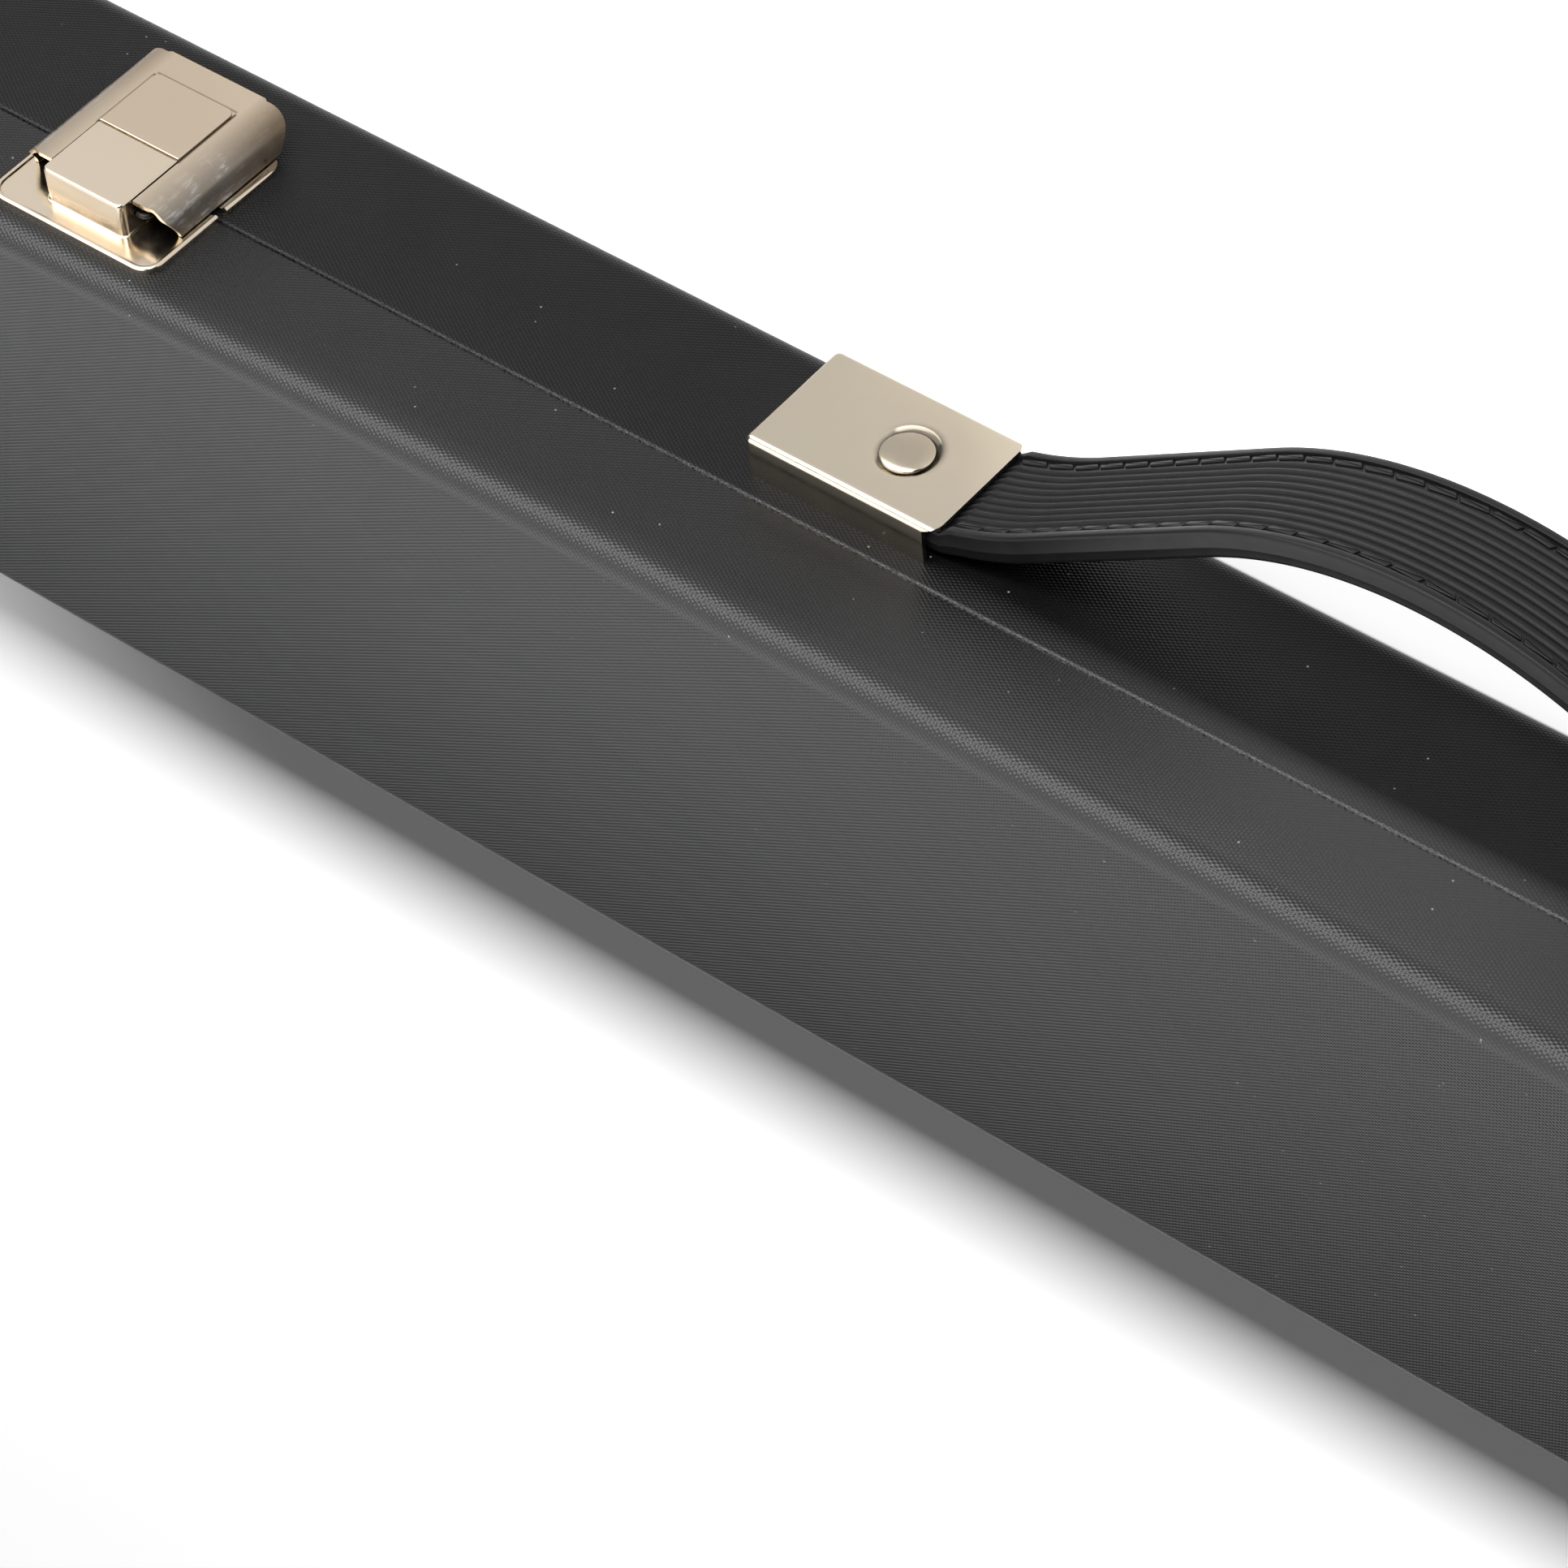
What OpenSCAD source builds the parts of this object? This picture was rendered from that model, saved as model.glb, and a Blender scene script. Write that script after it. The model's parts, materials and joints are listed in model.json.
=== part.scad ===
// Hard case for a two-piece cue, lying on its back shell with the lid on top.
// Wooden rails and panels wrapped in vinyl, foam cradle, three butt hinges along the
// back edge, two lever latches and a strap handle with metal end caps on the front.
// X runs along the case, Y from the front (handle side) to the hinges, Z up.
// The origin is the middle of the underside. All sizes are in millimetres.

/* [Case] */
// Length of the case over the vinyl
case_l = 850; // [700:1:1300]
// Width of the case from the front face to the hinge face
case_w = 102; // [96:1:140]
// Height of the base half
base_h = 35; // [33:0.5:50]
// Height of the lid half
lid_h = 25; // [23:0.5:40]
// Gap between the rims of the two halves
seam_gap = 0.3; // [0.2:0.05:0.6]
// Radius of the long outer edges
edge_r = 5; // [3:0.5:6]
// Radius of the upright corners
corner_r = 6; // [4:0.5:9]
// Radius of the rims beside the seam
lip_r = 1.2; // [1:0.1:1.6]
// Thickness of the vinyl covering
skin_t = 0.8; // [0.6:0.1:1]
// Thickness of the front and back rails
rail_t = 8; // [6:0.5:9]
// Thickness of the end boards
end_t = 10; // [8:0.5:14]
// Thickness of the bottom and top panels
panel_t = 4; // [3:0.5:5]
// Distance from each end to the joint between the long wrap and the end patch
patch_w = 22; // [15:1:40]

/* [Lining] */
// Width of the channel for the butt
butt_w = 34; // [32:0.5:36]
// Width of the channel for the shaft
shaft_w = 26; // [22:0.5:28]
// Length of both channels
channel_l = 750; // [600:1:755]
// Foam left below the channels
floor_t = 3; // [2:0.5:5]
// Foam left at the ends of the channels and around the chalk compartment
wall_t = 9; // [6:0.5:11]
// Distance from the rim down to the top of the cradle
cradle_drop = 2; // [1.5:0.5:4]
// Thickness of the padded lining in the lid
pad_t = 12; // [8:0.5:13]
// Space between the linings and the wood around them
lining_gap = 0.3; // [0.2:0.1:0.5]

/* [Hinges] */
// Length of each hinge
hinge_l = 50; // [40:1:60]
// Distance from each end of the case to the middle of the outer hinge
hinge_inset = 125; // [100:1:175]
// Radius of the hinge barrel
barrel_r = 2.6; // [2.4:0.1:3]
// Radius of the hinge pin
hinge_pin_r = 1.1; // [0.9:0.1:1.3]
// Thickness of the hinge leaves
leaf_t = 1; // [0.8:0.1:1.2]
// Distance of the hinge axis behind the hinge face
axis_out = 0.35; // [0.3:0.05:0.6]
// Knuckles on each hinge
knuckles = 5; // [3:2:7]

/* [Handle] */
// Distance from the middle of the handle to the mouth of each cap
mouth_x = 94.8; // [92:0.2:110]
// Length of each cap
cap_l = 40.4; // [38:0.2:46]
// Width of each cap
cap_w = 25.5; // [25.5:0.1:28]
// Height of each cap off the case
cap_h = 8.6; // [8.4:0.1:10]
// Thickness of the cap metal
cap_t = 1; // [0.8:0.1:1.2]
// Distance from the cap mouth to the rivet
rivet_in = 15.4; // [15:0.1:17]
// Radius of the rivet head
rivet_head_r = 5.3; // [4.5:0.1:6]
// Radius of the rivet shank
rivet_r = 2.5; // [2:0.1:3]
// Distance of the handle below the seam
handle_drop = 17; // [16:0.2:18]
// Width of the strap
strap_w = 23; // [21:0.1:23]
// Thickness of the strap
strap_t = 6.6; // [6:0.1:6.6]
// Height of the strap's crown off the case
crown_h = 49.8; // [48:0.2:60]
// Radius of the arch along the top of the strap
arch_r = 81; // [75:1:90]
// Steepest slope of the strap in degrees
strap_slope = 32; // [30:0.5:34]
// Radius of the bend where the strap leaves the cap
root_r = 30; // [26:1:32]
// Number of ribs along the middle of the strap
ribs = 9; // [5:2:11]
// Depth of the grooves between the ribs
groove_d = 0.6; // [0.4:0.1:0.8]
// Travel of the grip towards the case
grip_travel = 18; // [10:1:20]

/* [Latches] */
// Distance from each end of the case to the middle of the latch
latch_inset = 154; // [150:1:190]
// Width of the latch plates
plate_w = 39.4; // [38:0.2:42]
// Thickness of the latch plates and covers
sheet_t = 0.8; // [0.7:0.05:0.9]
// Reach of the lid plate above the seam
plate_up = 18.4; // [17.5:0.1:20]
// Reach of the catch plate below the seam
catch_down = 17.8; // [17:0.1:19]
// Half the width of the pressed box
box_half = 9.5; // [9:0.1:9.6]
// Reach of the pressed box above the seam
box_up = 13.5; // [13:0.1:14]
// Height of the closed latch off the case
latch_h = 8; // [7.9:0.1:8.6]
// Reach of the lever below the seam
lever_down = 23; // [22:0.1:24]
// Reach of the lever above the seam
lever_up = 9.9; // [9.6:0.1:10]
// Half the width of the lever
lever_half = 17; // [16.8:0.1:17.4]
// Height of the lever's pivot off the case
pivot_h = 4.5; // [4.4:0.05:4.7]
// Distance of the lever's pivot above the seam
pivot_up = 7.4; // [7.2:0.1:7.6]
// Radius of the lever's pivot pin
pivot_r = 1; // [0.8:0.05:1.1]
// Radius of the bail wire
wire_r = 0.6; // [0.5:0.05:0.65]
// Distance between the lever's pivot and the bail's ends
throw_r = 2.3; // [2.1:0.05:2.4]
// Angle of the bail's ends above the line from the pivot to the catch
throw_a = 10; // [6:1:14]
// Lean of the catch hook in degrees
hook_lean = 20; // [15:1:25]
// Height of the catch hook off the case
hook_h = 5; // [4.6:0.1:5.2]

/* [Hidden] */
$fn = 48;
eps = 0.01;
reach = 2000;

seam_z = base_h;
case_h = base_h + lid_h;
rim_lo = seam_z - seam_gap / 2;
rim_hi = seam_z + seam_gap / 2;
half_l = case_l / 2;
half_w = case_w / 2;
inner_l = half_l - skin_t - end_t;
inner_w = half_w - skin_t - rail_t;
floor_z = skin_t + panel_t;
ceiling_z = case_h - skin_t - panel_t;
lid_part_h = case_h - rim_hi;

cradle_lo = floor_z + lining_gap;
cradle_hi = rim_lo - cradle_drop;
channel_lo = cradle_lo + floor_t;
channel_x0 = -inner_l + lining_gap + wall_t;
channel_x1 = channel_x0 + channel_l;
pocket_x0 = channel_x1 + wall_t;
pocket_x1 = inner_l - lining_gap - wall_t;
shoulder = (2 * (inner_w - lining_gap) - butt_w - shaft_w) / 3;
butt_y = inner_w - lining_gap - shoulder - butt_w / 2;
shaft_y = -inner_w + lining_gap + shoulder + shaft_w / 2;
pocket_w = 2 * (inner_w - lining_gap - wall_t);

hinge_pitch = half_l - hinge_inset;
hinge_y = half_w + axis_out;
leaf_reach = 8;
leaf_gap = 0.25;
running = 0.05;
wire_running = 0.06;
pivot_fit = 0.03;
barrel_gap = 0.35;
barrel_end_gap = 1.2;
knuckle_gap = 0.3;
knuckle_l = hinge_l / knuckles;
pin_head_r = hinge_pin_r + 0.6;
pin_head_t = 0.7;
pin_head_gap = 0.1;
screw_r = 1.1;
screw_l = 6;
screw_head_r = 2;
screw_head_t = 0.6;
screw_y = half_w - 4.9;
screw_pitch = hinge_l / 2 - 7;

cap_x = mouth_x + cap_l / 2;
cap_bend = 2.2;
cap_corner = 2;
cap_lip = 0.8;
rivet_x = mouth_x + rivet_in;
rivet_dome = 1.3;
rivet_seat = 0.1;
slot_side_gap = 0.2;
washer_r = 5;
washer_t = 0.8;
washer_gap = 0.6;
clinch_r = 3.6;
clinch_t = 0.8;
fit_gap = 0.1;
handle_z = seam_z - handle_drop;
tail_t = 6.2;
tail_lo = 0.6;
root_drop = 1.3;
root_top = cap_h - cap_t - root_drop;
arc_steps = 10;
tail_x = mouth_x + 1;
grip_half = 40;
strap_end = 6;
slot_spare = 1;
slot_travel = sqrt(pow(mouth_x, 2) + pow(crown_h, 2) - pow(crown_h - grip_travel, 2))
  - mouth_x + slot_spare;
rim_w = 2.2;
rib_pitch = (strap_w - 2 * rim_w) / (ribs + 1);
rib_w = rib_pitch * 0.55;
arch_x = arch_r * sin(strap_slope);
arch_z = crown_h - arch_r * (1 - cos(strap_slope));
root_x = arch_x + (arch_z - root_top - root_r * (1 - cos(strap_slope))) / tan(strap_slope);
root_end = root_x + root_r * sin(strap_slope);

latch_x = half_l - latch_inset;
slot_gap = 0.25;
box_t = 0.8;
box_down = 1.4;
box_corner = 1.5;
box_bend = 0.9;
overhang_h = 0.5;
plate_corner = 4;
plate_gap_up = 0.2;
catch_gap = 2;
bead_w = 0.9;
bead_h = 0.5;
slot_half = box_half + slot_gap;
slot_end = box_down + 0.5;
skirt_lo = 1.1;
skirt_out = 0.8;
bend_out = 3.4;
bend_u = lever_half - bend_out;
end_round = 4.5;
emboss_h = 0.3;
emboss_down = 17;
emboss_corner = 1.5;
ear_t = 0.8;
ear_r = 2.4;
bail_ear_r = wire_r + 0.55;
ear_lo = pivot_h - 1.5;
ear_line = slot_half + ear_t;
pin_out = 0.3;
pivot_half = ear_line + pin_out;
bail_v = pivot_up + throw_r * cos(throw_a);
bail_h = pivot_h - throw_r * sin(throw_a);
arm_gap = 0.35;
arm_u = pivot_half + wire_r + arm_gap;
bend_r = arm_u - ear_line - running;
hook_w = 14;
hook_t = 1;
hook_v = 8.2;
bar_h = 3.6;
bar_gap = 0.15;
bar_v = hook_v + hook_t + (bar_h - sheet_t) * tan(hook_lean) + (wire_r + bar_gap) / cos(hook_lean);
latch_rivet_u = 13.5;
lid_rivet_v = 3.5;
base_rivet_v = -13.5;
flush_r = 2.2;
flush_t = 0.5;
latch_shank_r = 1.2;

nickel = [0.78, 0.73, 0.65];
black_vinyl = [0.17, 0.17, 0.18];
strap_black = [0.11, 0.11, 0.12];
wood = [0.74, 0.6, 0.42];
board = [0.55, 0.42, 0.3];
velour = [0.12, 0.13, 0.16];
steel = [0.62, 0.62, 0.63];

// ---------- shared shapes ----------

// Rectangle centred on X with its own corner radius at the bottom and at the top.
module round_rect(w, h, r_low, r_high) {
  translate([-w / 2, r_low]) square([w, h - r_low - r_high]);
  translate([-w / 2 + r_low, 0]) square([w - 2 * r_low, h - r_high]);
  translate([-w / 2 + r_high, r_low]) square([w - 2 * r_high, h - r_low]);
  for (side = [-1, 1]) {
    translate([side * (w / 2 - r_low), r_low]) circle(r_low);
    translate([side * (w / 2 - r_high), h - r_high]) circle(r_high);
  }
}

// Closed block with rounded outer edges; inset shrinks it evenly on every side.
module shell_block(h, inset) {
  r = edge_r - inset;
  rc = corner_r - inset;
  w = case_w - 2 * inset;
  l = case_l - 2 * inset;
  tall = h - 2 * inset;
  intersection() {
    translate([-l / 2, 0, inset]) rotate([90, 0, 90])
      linear_extrude(l) round_rect(w, tall, r, lip_r);
    translate([0, w / 2, inset]) rotate([90, 0, 0])
      linear_extrude(w) round_rect(l, tall, r, lip_r);
    translate([0, -w / 2, inset]) linear_extrude(tall) round_rect(l, w, rc, rc);
  }
}

// Puts a base part upside down in the lid's place.
module as_lid() {
  translate([0, 0, case_h]) mirror([0, 0, 1]) children();
}

// Box given by its lowest and highest corners.
module block(low, high) {
  translate(low) cube(high - low);
}

// Places (u, v, h) on the front face: u along X, v up from the seam, h off the case.
module on_front(x) {
  translate([x, -half_w, seam_z]) rotate([90, 0, 0]) children();
}

// Room for the hinges: leaf mortises and barrel grooves, for the half below the seam.
module hinge_room() {
  for (x = [-hinge_pitch, 0, hinge_pitch]) {
    block([x - hinge_l / 2 - leaf_gap, half_w - leaf_reach - leaf_gap, rim_lo - leaf_t - eps],
          [x + hinge_l / 2 + leaf_gap, half_w + 1, rim_lo + 1]);
    translate([x - hinge_l / 2 - barrel_end_gap, hinge_y, seam_z]) rotate([0, 90, 0])
      cylinder(h = hinge_l + 2 * barrel_end_gap, r = barrel_r + barrel_gap);
    for (s = [-1, 1]) translate([x + s * screw_pitch, screw_y, rim_lo - leaf_t - screw_l])
      cylinder(h = screw_l + 2, r = screw_r + fit_gap);
  }
}

// Holes for rivets that pass through the front of the base.
module base_front_holes() {
  for (s = [-1, 1]) {
    translate([s * rivet_x, -half_w - 1, handle_z]) rotate([-90, 0, 0])
      cylinder(h = rail_t + 3, r = rivet_r + fit_gap);
    for (t = [-1, 1]) on_front(s * latch_x)
      translate([t * latch_rivet_u, base_rivet_v, -rail_t - 2])
        cylinder(h = rail_t + 4, r = latch_shank_r + fit_gap);
  }
}

// Holes for the rivets that pass through the front of the lid.
module lid_front_holes() {
  for (s = [-1, 1], t = [-1, 1]) on_front(s * latch_x)
    translate([t * latch_rivet_u, lid_rivet_v, -rail_t - 2])
      cylinder(h = rail_t + 4, r = latch_shank_r + fit_gap);
}

// ---------- wooden shell of either half, drawn for the base ----------

module panel(h) {
  intersection() {
    shell_block(h, skin_t);
    block([-reach, -reach, skin_t], [reach, reach, skin_t + panel_t]);
  }
}

module rail(h, side) {
  intersection() {
    shell_block(h, skin_t);
    scale([1, side, 1])
      block([-inner_l, inner_w, skin_t + panel_t], [inner_l, half_w, h]);
  }
}

module end_board(h, side) {
  intersection() {
    shell_block(h, skin_t);
    scale([side, 1, 1])
      block([inner_l, -reach, skin_t + panel_t], [half_l, reach, h]);
  }
}

// Vinyl around the wood, turned over the rim down to its inner edge.
module skin(h) {
  difference() {
    shell_block(h, 0);
    shell_block(h, skin_t);
    block([-inner_l, -inner_w, skin_t + panel_t], [inner_l, inner_w, h + 1]);
  }
}

module wrap(h) {
  intersection() {
    skin(h);
    block([-half_l + patch_w, -reach, -1], [half_l - patch_w, reach, h + 1]);
  }
}

module patch(h, side) {
  intersection() {
    skin(h);
    scale([side, 1, 1]) block([half_l - patch_w, -reach, -1], [half_l + 1, reach, h + 1]);
  }
}

// ---------- base ----------

module base_bottom_panel() color(board) panel(rim_lo);

module base_front_rail() color(wood) difference() {
  rail(rim_lo, -1);
  base_front_holes();
}

module base_back_rail() color(wood) difference() {
  rail(rim_lo, 1);
  hinge_room();
}

module base_end_left() color(wood) end_board(rim_lo, -1);

module base_end_right() color(wood) end_board(rim_lo, 1);

module base_wrap() color(black_vinyl) difference() {
  wrap(rim_lo);
  hinge_room();
  base_front_holes();
}

module base_patch_left() color(black_vinyl) patch(rim_lo, -1);

module base_patch_right() color(black_vinyl) patch(rim_lo, 1);

// Round-bottomed channel along X, open at the top of the cradle.
module channel(y, w) {
  translate([channel_x0, y, channel_lo + w / 2]) rotate([0, 90, 0])
    cylinder(h = channel_l, r = w / 2);
  block([channel_x0, y - w / 2, channel_lo + w / 2], [channel_x1, y + w / 2, rim_lo + 1]);
}

// Foam cradle with a channel for each half of the cue and a chalk compartment.
module cradle() color(velour) difference() {
  block([-inner_l + lining_gap, -inner_w + lining_gap, cradle_lo],
        [inner_l - lining_gap, inner_w - lining_gap, cradle_hi]);
  channel(butt_y, butt_w);
  channel(shaft_y, shaft_w);
  block([pocket_x0, -pocket_w / 2, channel_lo], [pocket_x1, pocket_w / 2, rim_lo]);
  for (s = [-1, 1]) {
    translate([s * rivet_x, -inner_w - 1, handle_z]) rotate([-90, 0, 0])
      cylinder(h = 2 + washer_t + clinch_t, r = washer_r + washer_gap);
    for (t = [-1, 1]) on_front(s * latch_x)
      translate([t * latch_rivet_u, base_rivet_v, -skin_t - rail_t - flush_t - washer_gap])
        cylinder(h = flush_t + washer_gap + 1, r = flush_r + washer_gap);
  }
}

// ---------- lid ----------

module lid_top_panel() color(board) as_lid() panel(lid_part_h);

module lid_front_rail() color(wood) difference() {
  as_lid() rail(lid_part_h, -1);
  lid_front_holes();
}

module lid_back_rail() color(wood) difference() {
  as_lid() rail(lid_part_h, 1);
  lid_hinge_room();
}

// The hinge room mirrored above the seam.
module lid_hinge_room() {
  translate([0, 0, 2 * seam_z]) mirror([0, 0, 1]) hinge_room();
}

module lid_end_left() color(wood) as_lid() end_board(lid_part_h, -1);

module lid_end_right() color(wood) as_lid() end_board(lid_part_h, 1);

module lid_wrap() color(black_vinyl) difference() {
  as_lid() wrap(lid_part_h);
  lid_hinge_room();
  lid_front_holes();
}

module lid_patch_left() color(black_vinyl) as_lid() patch(lid_part_h, -1);

module lid_patch_right() color(black_vinyl) as_lid() patch(lid_part_h, 1);

module lid_pad() color(velour)
  block([-inner_l + lining_gap, -inner_w + lining_gap, ceiling_z - lining_gap - pad_t],
        [inner_l - lining_gap, inner_w - lining_gap, ceiling_z - lining_gap]);

// ---------- hinges ----------

// Tube for every second knuckle, starting with the first or the second.
module knuckle_row(first, r, grow) {
  for (k = [first : 2 : knuckles - 1])
    translate([-hinge_l / 2 + k * knuckle_l + knuckle_gap / 2 - grow, hinge_y, seam_z])
      rotate([0, 90, 0]) cylinder(h = knuckle_l - knuckle_gap + 2 * grow, r = r);
}

// Hinge leaf let into the rim below the seam; first picks which knuckles it carries.
module leaf(first) {
  difference() {
    union() {
      block([-hinge_l / 2, half_w - leaf_reach, rim_lo - leaf_t], [hinge_l / 2, hinge_y, rim_lo]);
      knuckle_row(first, barrel_r, 0);
    }
    difference() {
      knuckle_row(1 - first, barrel_r + knuckle_gap, knuckle_gap);
      knuckle_row(first, barrel_r, 0);
    }
    translate([-hinge_l / 2 - 1, hinge_y, seam_z]) rotate([0, 90, 0])
      cylinder(h = hinge_l + 2, r = hinge_pin_r + running);
    for (s = [-1, 1]) translate([s * screw_pitch, screw_y, rim_lo - leaf_t - 1]) {
      cylinder(h = leaf_t + 2, r = screw_r + fit_gap);
      translate([0, 0, leaf_t + 1 - screw_head_t]) cylinder(h = 2, r = screw_head_r + fit_gap);
    }
  }
}

module base_leaf(x) color(nickel) translate([x, 0, 0]) leaf(0);

module lid_leaf(x) color(nickel)
  translate([x, 0, 2 * seam_z]) mirror([0, 0, 1]) leaf(1);

// Pin with a head formed at each end of the barrel.
module hinge_pin(x) color(steel) translate([x, hinge_y, seam_z]) rotate([0, 90, 0]) {
  cylinder(h = hinge_l + 2 * pin_head_gap + pin_head_t, r = hinge_pin_r, center = true);
  for (s = [-1, 1]) translate([0, 0, s * (hinge_l / 2 + pin_head_gap + pin_head_t / 2)])
    cylinder(h = pin_head_t, r = pin_head_r, center = true);
}

module hinge_left_base_leaf() base_leaf(-hinge_pitch);
module hinge_middle_base_leaf() base_leaf(0);
module hinge_right_base_leaf() base_leaf(hinge_pitch);
module hinge_left_lid_leaf() lid_leaf(-hinge_pitch);
module hinge_middle_lid_leaf() lid_leaf(0);
module hinge_right_lid_leaf() lid_leaf(hinge_pitch);
module hinge_left_pin() hinge_pin(-hinge_pitch);
module hinge_middle_pin() hinge_pin(0);
module hinge_right_pin() hinge_pin(hinge_pitch);

// Two screws through each leaf, heads flush with the rim.
module leaf_screws() {
  for (x = [-hinge_pitch, 0, hinge_pitch], s = [-1, 1])
    translate([x + s * screw_pitch, screw_y, rim_lo - screw_l]) {
      cylinder(h = screw_l - screw_head_t + eps, r = screw_r);
      translate([0, 0, screw_l - screw_head_t]) cylinder(h = screw_head_t, r = screw_head_r);
    }
}

module hinge_base_screws() color(steel) leaf_screws();

module hinge_lid_screws() color(steel)
  translate([0, 0, 2 * seam_z]) mirror([0, 0, 1]) leaf_screws();

// ---------- handle ----------

// Cap block closed at the far end; inset shrinks it, mouth lengthens it past its open end.
module cap_solid(inset, mouth) {
  w = cap_w - 2 * inset;
  h = cap_h - inset;
  l = cap_l - inset + mouth;
  bend = cap_bend - inset;
  round_c = cap_corner - inset;
  intersection() {
    translate([-cap_l / 2 - mouth, 0, 0]) rotate([90, 0, 90])
      linear_extrude(l) round_rect(w, h, eps, bend);
    translate([-cap_l / 2 - mouth, w / 2, 0]) rotate([90, 0, 0]) linear_extrude(w) {
      square([l - bend, h]);
      square([l, h - bend]);
      translate([l - bend, h - bend]) circle(bend);
    }
    translate([-cap_l / 2 - mouth, -w / 2, 0]) linear_extrude(h) {
      square([l - round_c, w]);
      translate([0, round_c]) square([l, w - 2 * round_c]);
      for (y = [round_c, w - round_c]) translate([l - round_c, y]) circle(round_c);
    }
  }
}

// Drawn sheet-metal cap with its mouth towards the middle of the handle.
module cap() {
  difference() {
    cap_solid(0, 0);
    translate([0, 0, -eps]) cap_solid(cap_t, 1);
    translate([-cap_l / 2 - 1, -cap_w / 2 - 1, -1])
      cube([1 + cap_lip, cap_w + 2, cap_h - cap_t + 1 - cap_bend / 2]);
    translate([-cap_l / 2 + rivet_in, 0, 0]) cylinder(h = cap_h + 1, r = rivet_r + fit_gap);
  }
}

module place_handle(side) {
  translate([0, -half_w, handle_z]) rotate([90, 0, 0]) mirror([side < 0 ? 1 : 0, 0, 0]) children();
}

module handle_cap(side) color(nickel)
  place_handle(side) translate([cap_x, 0, 0]) cap();

module handle_cap_left() handle_cap(-1);
module handle_cap_right() handle_cap(1);

// Rivets through cap, strap slot and rail, with a flat domed head and a clinched end.
module handle_rivets() color(nickel) for (side = [-1, 1])
  place_handle(side) translate([rivet_x, 0, 0]) {
    translate([0, 0, -skin_t - rail_t - washer_t - clinch_t])
      cylinder(h = cap_h + skin_t + rail_t + washer_t + clinch_t + rivet_seat, r = rivet_r);
    translate([0, 0, -skin_t - rail_t - washer_t - clinch_t]) cylinder(h = clinch_t, r = clinch_r);
    intersection() {
      translate([0, 0, cap_h]) cylinder(h = rivet_dome, r = rivet_head_r);
      translate([0, 0, cap_h + rivet_dome - 3 * rivet_head_r]) sphere(3 * rivet_head_r, $fn = 96);
    }
  }

module handle_washers() color(steel) for (side = [-1, 1])
  place_handle(side) translate([rivet_x, 0, -skin_t - rail_t - washer_t]) difference() {
    cylinder(h = washer_t, r = washer_r);
    translate([0, 0, -1]) cylinder(h = washer_t + 2, r = rivet_r + fit_gap);
  }

// Points [x, h, slope] along the strap's top face: crown arc, straight slope, root arc.
function strap_top() = concat(
  [for (i = [0 : arc_steps]) let (a = strap_slope * i / arc_steps)
    [arch_r * sin(a), crown_h - arch_r * (1 - cos(a)), a]],
  [for (i = [arc_steps : -1 : 0]) let (a = strap_slope * i / arc_steps)
    [root_end - root_r * sin(a), root_top + root_r * (1 - cos(a)), a]]);

// Cross band of the strap between two stations, top face sunk by sink.
module strap_band(x0, x1, sink) {
  pts = strap_top();
  intersection() {
    polygon(concat(
      [for (p = pts) [p[0] - sink * sin(p[2]), p[1] - sink * cos(p[2])]],
      [for (i = [len(pts) - 1 : -1 : 0])
        [pts[i][0] - strap_t * sin(pts[i][2]), pts[i][1] - strap_t * cos(pts[i][2])]]));
    translate([x0, -1]) square([x1 - x0, crown_h + 2]);
  }
}

// Strap between two stations with raised borders and ribs along its middle.
module strap_piece(x0, x1) {
  rotate([90, 0, 0]) {
    translate([0, 0, -strap_w / 2]) linear_extrude(strap_w) strap_band(x0, x1, groove_d);
    for (s = [-1, 1]) translate([0, 0, s * (strap_w - rim_w) / 2 - rim_w / 2])
      linear_extrude(rim_w) strap_band(x0, x1, 0);
    for (k = [1 : ribs]) translate([0, 0, -strap_w / 2 + rim_w + k * rib_pitch - rib_w / 2])
      linear_extrude(rib_w) strap_band(x0, x1, groove_d / 3);
  }
}

module handle_grip() color(strap_black) place_handle(1) {
  strap_piece(0, grip_half);
  mirror([1, 0, 0]) strap_piece(0, grip_half);
}

// Bending half of the strap, with the slotted tail that slides inside the cap.
module handle_span(side) color(strap_black) place_handle(side) difference() {
  union() {
    strap_piece(grip_half, tail_x);
    translate([tail_x - eps, -strap_w / 2, tail_lo])
      cube([rivet_x + rivet_r + strap_end - tail_x, strap_w, tail_t]);
  }
  for (x = [rivet_x - slot_travel, rivet_x]) translate([x, 0, -1])
    cylinder(h = cap_h + 2, r = rivet_r + slot_side_gap);
  translate([rivet_x - slot_travel, -rivet_r - slot_side_gap, -1])
    cube([slot_travel, 2 * (rivet_r + slot_side_gap), cap_h + 2]);
}

module handle_span_left() handle_span(-1);
module handle_span_right() handle_span(1);

// ---------- latches ----------

// Plate outline between two heights, rounded at its outer corners.
module plate_outline(v0, v1, far_up) {
  h = v1 - v0;
  translate([0, far_up ? v0 : v1]) mirror([0, far_up ? 0 : 1])
    round_rect(plate_w, h, eps, plate_corner);
}

// Flat plate with a raised bead along its sides, and along its far edge if closed.
module latch_sheet(v0, v1, far_up, closed) {
  linear_extrude(sheet_t) plate_outline(v0, v1, far_up);
  linear_extrude(sheet_t + bead_h) difference() {
    plate_outline(v0, v1, far_up);
    w = plate_w - 2 * bead_w;
    end = closed ? bead_w : -1;
    translate([0, v0 - 1]) round_rect(w, v1 - v0 + 1 - end, eps, plate_corner - bead_w);
    if (!far_up) translate([-w / 2, v0 - 1]) square([w, v1 - v0 + 2]);
  }
}

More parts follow.
